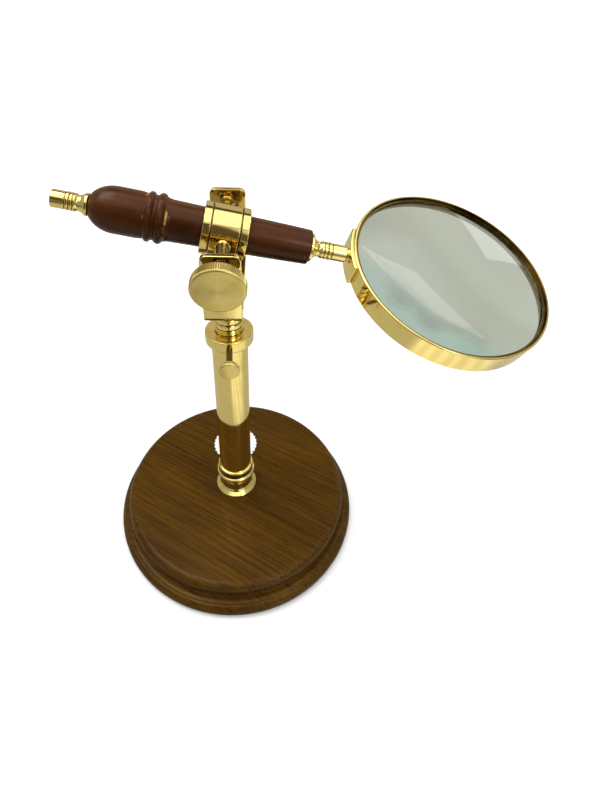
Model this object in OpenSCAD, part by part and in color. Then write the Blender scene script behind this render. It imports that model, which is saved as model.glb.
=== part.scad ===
// Stand magnifier: a polished brass reading glass with a turned wooden handle,
// held in a tilting clamp ring on a telescopic post over a round wooden base.
// The origin is the middle of the base's underside. The viewer stands at -Y.

/* [Wooden base] */
// Diameter over the lower moulding
base_d = 140; // [128:1:160]
// Height of the whole base
base_h = 18.6; // [18:0.2:24]
// Radius of the rounded lower moulding
moulding_r = 4.8; // [4:0.1:5.5]
// Height of the lower moulding's middle above the table
moulding_z = 3.6; // [2.8:0.1:4]
// How far the upper disc's edge lies inside the lower moulding
disc_inset = 5.4; // [4:0.1:8]
// Radius of the upper disc's rounded edge
disc_round = 4; // [3:0.1:4.4]
// Depth of the groove under the upper disc
groove_depth = 2.4; // [1:0.1:3]
// How far the felt pad lies inside the moulding's foot
felt_inset = 8; // [6:0.5:14]
// Thickness of the felt pad
felt_t = 1.2; // [0.8:0.1:2]
// Diameter of the paper seal on the base
seal_d = 28; // [20:1:29]
// Number of scallops round the paper seal
seal_scallops = 30; // [20:1:40]
// Distance of the seal's middle behind the post
seal_back = 28.6; // [28:0.2:32]
// Sideways place of the seal's middle
seal_side = -1.8; // [-6:0.2:6]
// Thickness of the seal's paper
seal_t = 0.2; // [0.1:0.05:0.4]

/* [Foot fastening] */
// Diameter of the stud through the base
stud_d = 8; // [6:0.5:9]
// Diameter of the washer in the base's underside
washer_d = 20; // [17:0.5:24]
// Thickness of the washer
washer_t = 1.2; // [0.8:0.1:2]
// Width across the corners of the base nut
base_nut_d = 15; // [13:0.5:16.5]
// Height of the base nut
base_nut_h = 5; // [3.5:0.1:5.5]

/* [Foot flange] */
// Diameter of the flange that stands on the wood
flange_d = 23.8; // [21:0.2:26]
// Height of the whole turned foot
flange_h = 19; // [18:0.2:24]
// Diameter of the foot's waist
waist_d = 17.5; // [15:0.1:18]
// Diameter over the foot's big bead
bead_d = 22.2; // [21.4:0.1:24]
// Diameter over the thin ring round the tube
foot_ring_d = 20.2; // [19.8:0.1:21.2]

/* [Post] */
// Outer diameter of the post tube
tube_d = 18; // [17:0.1:18.4]
// Diameter of the sliding rod
rod_d = 14.1; // [12:0.1:14.6]
// Length of the sliding rod below its head
rod_len = 86.9; // [70:0.1:92]
// Height of the collar's top above the wood
post_h = 116.4; // [108:0.2:130]
// Diameter of the collar
collar_d = 23.6; // [22.4:0.1:26]
// Height of the collar
collar_h = 6.6; // [5.6:0.1:8]
// Thickness of the collar's lid over the tube
collar_lid = 1.1; // [0.8:0.1:1.3]

/* [Lock screw] */
// Diameter of the lock screw's stem
lock_d = 3; // [2.4:0.1:3.2]
// Distance of the lock screw's face from the post's axis
lock_reach = 27.6; // [24:0.2:32]
// Diameter of the lock screw's knurled head
lock_head_d = 9.7; // [8:0.1:11]
// Thickness of the lock screw's knurled head
lock_head_t = 2.4; // [2:0.1:3.4]
// Turn of the lock screw to the right of the viewer, in degrees
lock_turn = 3; // [-10:1:10]

/* [Swivel head and ball joint] */
// Diameter of the swivel head's turned rings
head_ring_d = 13.8; // [12.6:0.1:14]
// Diameter of the ball's cup and of its cap
cup_d = 14.8; // [14:0.1:16]
// Diameter of the spigot that the head turns on
spigot_d = 7; // [5.5:0.1:7.4]
// Length of the spigot that the head turns on
spigot_h = 6; // [5.2:0.1:6.6]
// Diameter of the grub screw that keeps the head on
grub_d = 2.4; // [1.8:0.1:2.6]
// Height of the ball's middle above the collar's top
ball_up = 16.9; // [16.7:0.1:22]
// Diameter of the ball
ball_d = 9.2; // [8.6:0.1:9.6]
// Diameter of the ball's neck and thread
neck_d = 4.4; // [3.6:0.1:4.4]
// Lean of the fork towards the viewer, in degrees
lean = 10; // [0:1:20]
// Sideways lean of the fork towards the lens, in degrees
side_lean = 1; // [-2:0.1:2]
// Swing of the fork about the post, in degrees
swing = -0.8; // [-10:0.1:10]

/* [Fork] */
// Width of the fork's strip
fork_w = 15.9; // [12:0.1:17]
// Thickness of the fork's strip
fork_t = 2.2; // [1.6:0.1:3]
// Distance over the outsides of the two ears
fork_depth = 48.6; // [46:0.1:54]
// Height of the ears above the web's underside
fork_h = 36.9; // [35.4:0.1:40]
// Radius of the fork's outside bends
bend_r = 5; // [3:0.1:5.4]
// Radius of the corners of the ears
ear_corner_r = 3; // [1:0.1:5]
// Height of the web's underside above the ball's middle
web_up = 8; // [7.9:0.1:11]
// Height of the trunnion axis above the web's underside
trunnion_up = 30.9; // [29:0.1:32]
// Width over the corners of the nut on the web
fork_nut_d = 9.2; // [7.6:0.1:11]
// Height of the nut on the web
fork_nut_h = 3.2; // [2.4:0.1:4]
// Diameter of the rear pivot screw
pivot_d = 4; // [3:0.1:4.4]
// Diameter of the rear pivot screw's head
pivot_head_d = 7.6; // [6.6:0.1:9]
// Diameter of the rear pivot's domed lock nut
pivot_nut_d = 7.4; // [6.6:0.1:9]

/* [Clamp ring and clamp screw] */
// Outer diameter of the clamp ring
ring_d = 21.8; // [21.2:0.1:23]
// Length of the clamp ring along the handle
ring_len = 18.4; // [16:0.1:19.4]
// Wall of the clamp ring
ring_wall = 2; // [1.8:0.1:2.2]
// Width of the ring's end bands
band_w = 3; // [2:0.1:4]
// Width of the grooves beside the end bands
band_groove_w = 0.6; // [0.4:0.1:1]
// Diameter of the clamp screw's thread
clamp_d = 5; // [4:0.1:5.4]
// Pitch of the clamp screw's thread
clamp_pitch = 0.8; // [0.7:0.05:1]
// Distance of the knob's face from the handle's axis
knob_reach = 37.1; // [36:0.1:42]
// Diameter of the knurled knob
knob_d = 21.2; // [17:0.1:22]
// Thickness of the knurled knob
knob_t = 4.8; // [4:0.1:6]
// Number of ridges round the knob
knob_ridges = 64; // [48:1:80]

/* [Handle] */
// Slope of the handle down to the lens, in degrees
tilt = 12.2; // [0:0.1:30]
// Roll of the lens about the handle, in degrees
roll = 9.3; // [-20:0.1:20]
// Distance from the clamp to the handle's front end
grip_front = 36.7; // [36:0.1:39]
// Distance from the clamp to the handle's rear end
grip_rear = 54; // [53:0.1:58]
// Play of the handle in the clamp ring, on each side
shank_play = 0.8; // [0.75:0.05:1.4]
// How much thinner the handle's front end is than at the clamp
shank_taper = 1.6; // [1:0.1:3]
// Diameter of the handle's bulb
bulb_d = 19; // [18:0.1:20]
// Diameter over the handle's two beads
grip_bead_d = 20.6; // [20.1:0.1:21.4]
// Diameter of the ferrules' ends
ferrule_d = 7.2; // [6.4:0.1:8]
// Diameter of the front ferrule's flare against the wood
front_flare_d = 11.4; // [9:0.1:12]
// Diameter of the rear ferrule's flare against the wood
rear_flare_d = 9.2; // [8.4:0.1:10.4]
// Length of the rear ferrule
rear_ferrule_l = 14.1; // [13:0.1:18]
// Diameter of the tie rod through the handle
tie_d = 4; // [3:0.1:4.2]

/* [Lens and rim] */
// Distance from the clamp to the middle of the lens
lens_reach = 100; // [98:0.1:112]
// Outer diameter of the rim
rim_d = 90; // [84:0.5:90.5]
// Height of the rim
rim_h = 10; // [9.8:0.1:13]
// Thickness of the rim's wall
rim_t = 1; // [0.8:0.1:1.6]
// How far the rim's middle lies below the handle's axis
rim_drop = 1.1; // [0:0.1:2.5]
// Width of the ledge that carries the lens
ledge_w = 1.1; // [0.8:0.1:2.4]
// Thickness of the ledge and of the retaining ring
ledge_t = 0.9; // [0.8:0.1:1.3]
// Height of the ledge above the rim's lower edge
ledge_up = 4; // [0.5:0.1:4.4]
// Thickness of the lens at its edge
lens_edge = 3; // [2.2:0.1:3.4]
// Bulge of each face of the lens
lens_bulge = 2.4; // [1.6:0.1:2.6]
// Thickness of the cradle between rim and handle
cradle_t = 1.7; // [1.2:0.1:2.2]
// Width of the cradle round the rim
cradle_w = 23.4; // [12:0.2:24]
// How far the cradle's middle lies behind the handle's axis
cradle_shift = 1.2; // [-2:0.1:3]

/* [Hidden] */
$fn = 96;

brass = [0.80, 0.66, 0.30];
brass_dark = [0.70, 0.56, 0.24];
steel = [0.62, 0.62, 0.60];
base_wood = [0.34, 0.22, 0.08];
grip_wood = [0.30, 0.15, 0.09];

// Radial play of a shaft that runs in a bore
fit = 0.05;
// Space between bodies that move past each other
gap = 0.3;
// Space between end faces that turn on each other
face_gap = 0.15;
// Extra length that carries a cut past a face
over = 1;

// Wooden base
disc_d = base_d - 2 * disc_inset;
groove_d = disc_d - 2 * groove_depth;
disc_bottom = base_h - 2 * disc_round;
moulding_top = moulding_z + moulding_r;
step_top = (moulding_top + disc_bottom) / 2 + 0.3;
moulding_core_r = base_d / 2 - moulding_r;
felt_r = moulding_core_r - felt_inset + moulding_r;
washer_top = felt_t + 0.6 + base_nut_h + washer_t;
recess_r = washer_d / 2 + 1.5;

// Foot flange, with heights above the wood
bead_r = 1.5;
bead_z = 12.9;
ring_r = 1;
socket_floor = 10.2;
stud_top = 7.4;
flange_rim = 0.8;

// Post, with heights above the table
collar_top = base_h + post_h;
collar_bottom = collar_top - collar_h;
tube_bottom = base_h + socket_floor;
tube_top = collar_top - collar_lid;
tube_bore_r = rod_d / 2 + fit;
collar_bore_r = tube_d / 2 + fit;
rod_top = collar_top + 0.25;
lock_z = collar_bottom + collar_h / 2;
lock_tip = rod_d / 2 + gap;

// Swivel head and ball joint
ball_z = collar_top + ball_up;
ball_r = ball_d / 2;
cavity_r = ball_r + fit;
head_bottom = rod_top + face_gap;
cup_top = ball_z + 0.2;
cap_skirt = 3.2;
cap_top = ball_z + 3.2;
cap_hole_r = neck_d / 2 + 1.9;
cap_thread_r = cup_d / 2 - 1.4;
ring_step = 3.1;
grub_z = head_bottom + spigot_h / 2;
shoulder_r = neck_d / 2 + 1;
shoulder_h = 1;

// Fork, clamp ring and screws, in the fork's own frame
trunnion_z = web_up + trunnion_up;
ear_out = fork_depth / 2;
ear_in = ear_out - fork_t;
ring_bore = ring_d - 2 * ring_wall;
shank_d = ring_bore - 2 * shank_play;
shank_front_d = shank_d - shank_taper;
pivot_tip = ring_bore / 2 + 0.2;
pivot_head_t = 2.4;
pivot_nut_t = 2.6;
clamp_tip = shank_d / 2 + 0.35;
knob_back = knob_reach - knob_t;
knob_hub_r = clamp_d / 2 + 1.2;
clamp_end = knob_reach - 1.6;
ring_boss_r = clamp_d / 2 + 0.6;
ring_boss_h = 0.6;

// Handle, with places along its axis from the clamp
bead_rear = 26;
bead_gap = 4.3;
tie_bore_r = tie_d / 2 + fit;
ferrule_wall = 2;
rear_end = grip_rear + face_gap + rear_ferrule_l;

// Lens head, in the rim's own frame
rim_r = rim_d / 2;
rim_low = -rim_drop - rim_h / 2;
lens_play = 0.1;
lens_r = rim_r - rim_t - lens_play;
ledge_r = rim_r - rim_t - ledge_w;
ledge_low = rim_low + ledge_up;
lens_seat = lens_bulge * (1 - pow(ledge_r / lens_r, 2)) + 0.02;
lens_low = ledge_low + ledge_t + lens_seat;
lens_top = lens_low + lens_edge;
lens_ball_r = (lens_r * lens_r + lens_bulge * lens_bulge) / (2 * lens_bulge);
lens_fn = 1440;
cradle_in = rim_r + fit;
cradle_out = cradle_in + cradle_t;
front_end = lens_reach - cradle_out - 1.1;

// Frame of the fork: the ball's middle, swung about the post and leaned towards the viewer
module fork_frame() {
  translate([0, 0, ball_z])
    rotate([0, 0, swing])
      rotate([lean, 0, 0])
        rotate([0, side_lean, 0])
          children();
}

// Frame of the trunnion, upright in the fork
module trunnion_frame() {
  fork_frame()
    translate([0, 0, trunnion_z])
      children();
}

// Frame along the trunnion axis: +Z runs out towards the viewer
module screw_frame() {
  trunnion_frame()
    rotate([90, 0, 0])
      children();
}

// Frame along the handle: +Z runs from the clamp to the lens
module handle_frame() {
  trunnion_frame()
    rotate([0, 90 + tilt, 0])
      children();
}

// Frame of the lens: +Z is its axis and +X points away from the handle
module lens_frame() {
  handle_frame()
    rotate([0, 0, roll])
      translate([0, 0, lens_reach])
        rotate([0, -90, 0])
          children();
}

// Frame of the lock screw: +Z runs out of the collar
module lock_frame() {
  translate([0, 0, lock_z])
    rotate([0, 0, lock_turn])
      rotate([90, 0, 0])
        children();
}

// Rectangle of a turned profile, from the axis or from an inner radius
module band(r, z0, z1, inner = 0) {
  translate([inner, z0])
    square([r - inner, z1 - z0]);
}

// Round bead of a turned profile, as a disc at a radius
module bead(r, z, bead_radius) {
  translate([r - bead_radius, z])
    circle(bead_radius);
}

// Hole along Z from one height to another
module hole(r, z0, z1) {
  translate([0, 0, z0])
    cylinder(r = r, h = z1 - z0);
}

// Straight-knurled disc of triangular ridges
module knurled_disc(d, t, ridges, depth) {
  linear_extrude(t)
    polygon([for (i = [0 : 2 * ridges - 1])
      let (a = i * 180 / ridges, r = d / 2 - (i % 2) * depth)
        [r * cos(a), r * sin(a)]]);
}

// Knurled head with a plain bevelled edge on its back and on its face
module knurled_head(d, t, ridges, depth, back, face) {
  root = d / 2 - depth - 0.05;
  translate([0, 0, back])
    knurled_disc(d, t - back - face, ridges, depth);
  rotate_extrude()
    polygon([
      [0, 0],
      [root - back, 0],
      [root, back],
      [root, t - face],
      [root - face, t],
      [0, t]
    ]);
}

// Turned base: lower moulding, groove and half-round upper disc
module base_profile() {
  intersection() {
    band(base_d / 2, 0, base_h);
    union() {
      band(moulding_core_r, 0, moulding_top);
      bead(base_d / 2, moulding_z, moulding_r);
      band(groove_d / 2 + 1.2, moulding_top - over, step_top);
      band(groove_d / 2, 0, base_h);
      band(disc_d / 2 - disc_round, disc_bottom, base_h);
      bead(disc_d / 2, disc_bottom + disc_round, disc_round);
    }
  }
}

module wood_base() {
  color(base_wood)
    difference() {
      rotate_extrude()
        base_profile();
      hole(felt_r + fit, -over, felt_t);
      hole(recess_r, 0, washer_top);
      hole(stud_d / 2 + fit, 0, base_h + over);
    }
}

module felt_pad() {
  color([0.12, 0.28, 0.16])
    cylinder(r = felt_r, h = felt_t);
}

module base_stud() {
  color(steel)
    hole(stud_d / 2, felt_t + 0.3, base_h + stud_top);
}

module base_washer() {
  color(steel)
    difference() {
      hole(washer_d / 2, washer_top - washer_t, washer_top);
      hole(stud_d / 2 + fit, 0, base_h);
    }
}

module base_nut() {
  nut_top = washer_top - washer_t;
  color(steel)
    difference() {
      translate([0, 0, nut_top - base_nut_h])
        cylinder(d = base_nut_d, h = base_nut_h, $fn = 6);
      hole(stud_d / 2 + fit, 0, base_h);
    }
}

// Turned foot: sloping flange, waist, big bead, cove and thin ring
module foot_profile() {
  waist_r = waist_d / 2;
  ring_top = foot_ring_d / 2;
  polygon([
    [0, 0],
    [flange_d / 2, 0],
    [flange_d / 2, flange_rim],
    [flange_d / 2 - 2.4, flange_rim + 1.7],
    [waist_r + 0.5, flange_rim + 2.6],
    [waist_r, flange_rim + 4.4],
    [waist_r, socket_floor - 3.6],
    [waist_r + 0.5, socket_floor - 1.2],
    [bead_d / 2 - 1.3, bead_z - 1.4],
    [bead_d / 2 - 1.3, bead_z + 1.2],
    [ring_top - 0.3, bead_z + 1.8],
    [ring_top - 0.3, flange_h - ring_r],
    [0, flange_h - ring_r]
  ]);
  bead(bead_d / 2, bead_z, bead_r);
  band(ring_top - 0.3, socket_floor, flange_h - 0.2);
  bead(ring_top, flange_h - ring_r, ring_r);
}

module foot_flange() {
  color(brass)
    translate([0, 0, base_h])
      difference() {
        rotate_extrude()
          foot_profile();
        hole(tube_d / 2 + fit, socket_floor, flange_h + over);
        hole(stud_d / 2 + fit, -over, stud_top + 0.3);
      }
}

module post_tube() {
  color(brass)
    difference() {
      hole(tube_d / 2, tube_bottom, tube_top);
      hole(tube_bore_r, 0, collar_top);
      lock_frame()
        cylinder(r = lock_d / 2 + fit, h = collar_d);
    }
}

module tube_collar() {
  color(brass)
    difference() {
      translate([0, 0, collar_bottom])
        rotate_extrude()
          polygon([
            [tube_bore_r, 0],
            [collar_d / 2 - 0.9, 0],
            [collar_d / 2, 1.1],
            [collar_d / 2, collar_h - 0.25],
            [collar_d / 2 - 0.25, collar_h],
            [tube_bore_r, collar_h]
          ]);
      hole(collar_bore_r, 0, tube_top);
      lock_frame()
        cylinder(r = lock_d / 2 + fit, h = collar_d);
    }
}

module paper_seal() {
  scallop_r = seal_d * PI / seal_scallops / 2;
  color("white")
    translate([seal_side, seal_back, base_h])
      linear_extrude(seal_t) {
        circle(seal_d / 2 - scallop_r / 2);
        for (i = [0 : seal_scallops - 1])
          rotate(i * 360 / seal_scallops)
            translate([seal_d / 2 - scallop_r * 0.6, 0])
              circle(scallop_r * 0.98, $fn = 24);
      }
}

module lock_screw_stem() {
  color(brass_dark)
    lock_frame()
      hole(lock_d / 2, lock_tip, lock_reach - 1);
}

module lock_screw_head() {
  head_back = lock_reach - lock_head_t;
  color(brass)
    lock_frame()
      difference() {
        translate([0, 0, head_back])
          knurled_head(lock_head_d, lock_head_t, 32, 0.25, 0.2, 0.3);
        hole(lock_d / 2 + fit, head_back - over, lock_reach - 1 + face_gap);
      }
}

module sliding_rod() {
  color(brass)
    difference() {
      union() {
        hole(rod_d / 2, rod_top - rod_len, rod_top);
        hole(spigot_d / 2, rod_top, rod_top + spigot_h);
      }
      translate([0, 0, grub_z - grub_d / 2 - gap])
        difference() {
          cylinder(r = spigot_d, h = grub_d + 2 * gap);
          hole(spigot_d / 2 - 0.8, -over, grub_d + 2);
        }
    }
}

// Turned head: three rings, a waist and the ball's cup
module head_profile() {
  ring = head_ring_d / 2;
  cup = cup_d / 2;
  cup_low = ball_z - head_bottom - 6;
  skirt_low = cup_top - head_bottom - cap_skirt;
  band(ring - 0.7, 0, 3 * ring_step);
  for (i = [0 : 2])
    intersection() {
      band(ring, i * ring_step, (i + 1) * ring_step - 0.5);
      translate([ring - 2.6, (i + 0.5) * ring_step - 0.25])
        circle(2.6);
    }
  for (i = [0 : 2])
    band(ring - 0.5, i * ring_step, (i + 1) * ring_step - 0.5);
  polygon([
    [0, 3 * ring_step - 0.6],
    [ring - 0.7, 3 * ring_step - 0.6],
    [ring - 1.8, 3 * ring_step + (cup_low - 3 * ring_step) * 0.3],
    [ring - 1.8, 3 * ring_step + (cup_low - 3 * ring_step) * 0.6],
    [cup - 1, cup_low],
    [cup, cup_low + 0.9],
    [cup, skirt_low - 0.1],
    [cap_thread_r - fit, skirt_low - 0.1],
    [cap_thread_r - fit, cup_top - head_bottom],
    [0, cup_top - head_bottom]
  ]);
}

module swivel_head() {
  color(brass)
    difference() {
      translate([0, 0, head_bottom])
        rotate_extrude()
          head_profile();
      hole(spigot_d / 2 + fit, head_bottom - over, rod_top + spigot_h + face_gap);
      translate([0, 0, ball_z])
        sphere(cavity_r);
      translate([0, 0, grub_z])
        rotate([-90, 0, 0])
          cylinder(r = grub_d / 2 + fit, h = head_ring_d);
    }
}

module swivel_grub_screw() {
  tip = spigot_d / 2 - 0.5;
  tail = head_ring_d / 2 - 0.9;
  color(steel)
    translate([0, 0, grub_z])
      rotate([-90, 0, 0])
        difference() {
          hole(grub_d / 2, tip, tail);
          translate([-grub_d, -0.2, tail - 0.7])
            cube([2 * grub_d, 0.4, over]);
        }
}

module socket_cap() {
  cap_low = cup_top - cap_skirt;
  cap_h = cap_top - cap_low;
  color(brass)
    difference() {
      translate([0, 0, cap_low]) {
        knurled_disc(cup_d, cap_h - 1.6, 40, 0.3);
        translate([0, 0, cap_h - 1.6])
          cylinder(r1 = cup_d / 2 - 0.4, r2 = cup_d / 2 - 1.9, h = 1.6);
      }
      hole(cap_thread_r, 0, cup_top + face_gap);
      hole(cap_hole_r, 0, cap_top + over);
      translate([0, 0, ball_z])
        sphere(cavity_r);
    }
}

module ball_stud() {
  color(brass)
    fork_frame() {
      sphere(ball_r);
      hole(neck_d / 2, 0, web_up + fork_t + fork_nut_h + 0.6);
      hole(shoulder_r, web_up - shoulder_h, web_up);
    }
}

// Side view of the bent strip: a U with rounded corners
module fork_side() {
  bend_in = max(bend_r - fork_t, 0.4);
  difference() {
    union() {
      translate([-ear_out, bend_r])
        square([fork_depth, fork_h - bend_r]);
      translate([-ear_out + bend_r, 0])
        square([fork_depth - 2 * bend_r, bend_r + over]);
      for (side = [-1, 1])
        translate([side * (ear_out - bend_r), bend_r])
          circle(bend_r);
    }
    translate([-ear_in, fork_t + bend_in])
      square([2 * ear_in, fork_h]);
    translate([-ear_in + bend_in, fork_t])
      square([2 * (ear_in - bend_in), bend_in + over]);
    for (side = [-1, 1])
      translate([side * (ear_in - bend_in), fork_t + bend_in])
        circle(bend_in);
  }
}

// Front view of the strip: straight sides and rounded top corners
module fork_front() {
  translate([-fork_w / 2, -over])
    square([fork_w, fork_h + over - ear_corner_r]);
  translate([-fork_w / 2 + ear_corner_r, 0])
    square([fork_w - 2 * ear_corner_r, fork_h]);
  for (side = [-1, 1])
    translate([side * (fork_w / 2 - ear_corner_r), fork_h - ear_corner_r])
      circle(ear_corner_r);
}

module fork() {
  color(brass)
    fork_frame()
      translate([0, 0, web_up])
        difference() {
          intersection() {
            rotate([90, 0, 90])
              translate([0, 0, -fork_w / 2])
                linear_extrude(fork_w)
                  fork_side();
            rotate([90, 0, 0])
              translate([0, 0, -fork_depth])
                linear_extrude(2 * fork_depth)
                  fork_front();
          }
          hole(neck_d / 2 + fit, -over, fork_t + over);
          translate([0, 0, trunnion_up])
            rotate([90, 0, 0]) {
              hole(clamp_d / 2 + fit, 0, fork_depth);
              hole(pivot_d / 2 + fit, -fork_depth, 0);
            }
        }
}

module fork_nut() {
  color(brass_dark)
    fork_frame()
      difference() {
        translate([0, 0, web_up + fork_t])
          cylinder(d = fork_nut_d, h = fork_nut_h, $fn = 6);
        hole(neck_d / 2 + fit, 0, trunnion_z);
      }
}

module pivot_screw() {
  color(brass)
    screw_frame()
      difference() {
        union() {
          hole(pivot_d / 2, -ear_out - over, -pivot_tip);
          hole(pivot_head_d / 2, -ear_out - pivot_head_t, -ear_out);
        }
        translate([-pivot_head_d, -0.5, -ear_out - pivot_head_t - over])
          cube([2 * pivot_head_d, 1, over + 0.9]);
      }
}

module pivot_nut() {
  dome_r = 5;
  color(brass_dark)
    screw_frame()
      difference() {
        intersection() {
          hole(pivot_nut_d / 2, -ear_in, -ear_in + pivot_nut_t);
          translate([0, 0, -ear_in + pivot_nut_t - dome_r])
            sphere(dome_r);
        }
        hole(pivot_d / 2 + fit, -fork_depth, 0);
      }
}

// Half section of the clamp ring, with a groove beside each end band
module ring_profile() {
  difference() {
    band(ring_d / 2, -ring_len / 2, ring_len / 2, ring_bore / 2);
    for (side = [-1, 1])
      translate([ring_d / 2, side * (ring_len / 2 - band_w - band_groove_w / 2)])
        square([1, band_groove_w], center = true);
    for (side = [-1, 1])
      translate([ring_d / 2, side * ring_len / 2])
        rotate(45)
          square(0.5, center = true);
  }
}

module clamp_ring() {
  color(brass)
    difference() {
      union() {
        handle_frame()
          rotate_extrude()
            ring_profile();
        screw_frame()
          difference() {
            hole(ring_boss_r, ring_bore / 2 + 0.9, ring_d / 2 + ring_boss_h);
            hole(clamp_d / 2 + fit, 0, ring_d);
          }
      }
      screw_frame()
        hole(clamp_d / 2 + fit, 0, ring_d);
      screw_frame()
        hole(pivot_d / 2 + fit, -ring_d, 0);
    }
}

// Threaded rod as closed V-rings of one pitch, with plain ends
module thread_profile(r, z0, z1, pitch) {
  turns = floor((z1 - z0) / pitch);
  core = r - pitch * 0.4;
  band(core, z0, z1);
  for (i = [0 : turns - 1])
    polygon([
      [core - 0.1, z0 + i * pitch],
      [r, z0 + (i + 0.4) * pitch],
      [r, z0 + (i + 0.6) * pitch],
      [core - 0.1, z0 + (i + 1) * pitch]
    ]);
}

module clamp_screw_stem() {
  thread_low = ring_d / 2 + ring_boss_h + gap;
  thread_high = ear_out + 0.6;
  color(brass)
    screw_frame()
      rotate_extrude() {
        band(clamp_d / 2, clamp_tip, thread_low);
        thread_profile(clamp_d / 2, thread_low - 0.1, thread_high, clamp_pitch);
        band(clamp_d / 2, thread_high - 0.5, clamp_end);
      }
}

module clamp_knob() {
  color(brass)
    screw_frame()
      difference() {
        union() {
          translate([0, 0, knob_back])
            knurled_head(knob_d, knob_t, knob_ridges, 0.35, 0.3, 0.6);
          hole(knob_hub_r, ear_out + 0.8, knob_back + over);
        }
        hole(clamp_d / 2 + fit, 0, clamp_end + face_gap);
      }
}

// Radius of the tapering shank at a place along the handle
function shank_r(z) =
  let (front = shank_front_d / 2, mid = shank_d / 2, t = z / (grip_front - 1))
    z > 0 ? mid - (mid - front) * pow(t, 1.5) : mid - z * 0.0215;

// Turned wooden handle: bullet-shaped bulb, two beads and a tapering shank
module grip_profile() {
  bulb_r = bulb_d / 2;
  bulb_mid = grip_rear - 10.5;
  bulb_half = 11.6;
  shank_low = -bead_rear + 3.5;
  steps = 12;
  intersection() {
    band(bulb_r, -grip_rear, -bulb_mid);
    translate([0, -bulb_mid])
      polygon([for (a = [0 : 3 : 90]) [bulb_r * cos(a), -bulb_half * sin(a)],
        [0, -bulb_half], [0, 0]]);
  }
  polygon([
    [0, -bulb_mid - 0.01],
    [bulb_r, -bulb_mid - 0.01],
    [bulb_r + 0.03, -bulb_mid + 4],
    [bulb_r - 0.1, -bead_rear - bead_gap - 2.3],
    [bulb_r - 0.4, -bead_rear - bead_gap - 1.6],
    [bulb_r - 0.3, -bead_rear - bead_gap],
    [bulb_r - 0.3, -bead_rear],
    [bulb_r - 0.4, -bead_rear + 1.7],
    [shank_r(shank_low) + 0.4, -bead_rear + 2.4],
    [shank_r(shank_low), shank_low],
    [0, shank_low]
  ]);
  bead(grip_bead_d / 2 - 0.1, -bead_rear - bead_gap, 1.5);
  bead(grip_bead_d / 2, -bead_rear, 1.9);
  polygon([
    [0, shank_low - 0.01],
    for (i = [0 : steps])
      let (z = shank_low + i * (grip_front - 1 - shank_low) / steps)
        [shank_r(z), z],
    [shank_front_d / 2 - 0.3, grip_front - 0.3],
    [shank_front_d / 2 - 0.9, grip_front],
    [0, grip_front]
  ]);
}

module handle_grip() {
  color(grip_wood)
    handle_frame()
      difference() {
        rotate_extrude()
          grip_profile();
        hole(tie_bore_r, -grip_rear - over, grip_front + over);
      }
}

module tie_rod() {
  color(steel)
    handle_frame()
      hole(tie_d / 2, -rear_end + ferrule_wall, lens_reach - cradle_in - 0.2);
}

// Places along a ferrule, as shares of its length, with how far each lies outside its plain end's radius
ferrule_form = [
  [0.17, -0.1], [0.23, -0.45], [0.29, -0.35], [0.33, 0], [0.35, 0], [0.37, -0.3], [0.39, 0.1],
  [0.45, 0.1], [0.47, -0.35], [0.49, 0.15], [0.56, 0.15], [0.58, -0.35], [0.6, 0.1], [0.64, 0.1],
  [0.66, -0.3], [0.68, 0], [0.98, 0], [1, -0.2]
];

// Turned ferrule from its flare at 0 to its plain end at its length
module ferrule_profile(length, flare_d) {
  flare = flare_d / 2;
  plain = ferrule_d / 2;
  cove = (flare - plain) * 0.45;
  polygon([
    [0, 0],
    [flare - 0.15, 0],
    [flare, length * 0.012],
    [flare, length * 0.07],
    [flare - 0.4, length * 0.09],
    [plain + cove, length * 0.12],
    for (row = ferrule_form) [plain + row[1], length * row[0]],
    [0, length]
  ]);
}

module rear_ferrule() {
  color(brass)
    handle_frame()
      translate([0, 0, -grip_rear - face_gap])
        mirror([0, 0, 1])
          difference() {
            rotate_extrude()
              ferrule_profile(rear_ferrule_l, rear_flare_d);
            hole(tie_bore_r, -over, rear_ferrule_l - ferrule_wall + face_gap);
          }
}

module front_ferrule() {
  length = front_end - grip_front - face_gap;
  color(brass)
    handle_frame()
      translate([0, 0, grip_front + face_gap])
        difference() {
          rotate_extrude()
            ferrule_profile(length, front_flare_d);
          hole(tie_bore_r, -over, length + over);
        }
}

module rim_cradle() {
  color(brass)
    difference() {
      union() {
        lens_frame()
          intersection() {
            difference() {
              hole(cradle_out, rim_low, rim_low + rim_h);
              hole(cradle_in, rim_low - over, rim_low + rim_h + over);
            }
            translate([-cradle_out - over, cradle_shift - cradle_w / 2, rim_low])
              cube([cradle_out, cradle_w, rim_h]);
          }
        handle_frame()
          translate([0, 0, front_end])
            cylinder(r1 = ferrule_d / 2 - 1, r2 = ferrule_d / 2 + 0.2, h = 1.1 + cradle_t / 2);
      }
      handle_frame()
        hole(tie_bore_r, front_end - over, lens_reach - rim_r);
    }
}

module lens_rim() {
  color(brass)
    lens_frame()
      rotate_extrude() {
        difference() {
          band(rim_r, rim_low, rim_low + rim_h, rim_r - rim_t);
          translate([rim_r, rim_low])
            rotate(45)
              square(0.4, center = true);
          translate([rim_r, rim_low + rim_h])
            rotate(45)
              square(0.4, center = true);
        }
        band(rim_r - rim_t / 2, ledge_low, ledge_low + ledge_t, ledge_r);
      }
}

// Half section of the lens: the overlap of two large circles, trimmed at the edge
module lens_section() {
  intersection() {
    band(lens_r, lens_low - lens_bulge - over, lens_top + lens_bulge + over);
    translate([0, lens_top + lens_bulge - lens_ball_r])
      circle(lens_ball_r, $fn = lens_fn);
    translate([0, lens_low - lens_bulge + lens_ball_r])
      circle(lens_ball_r, $fn = lens_fn);
  }
}

module lens() {
  color([0.75, 0.88, 0.86, 0.5])
    lens_frame()
      rotate_extrude()
        lens_section();
}

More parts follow.
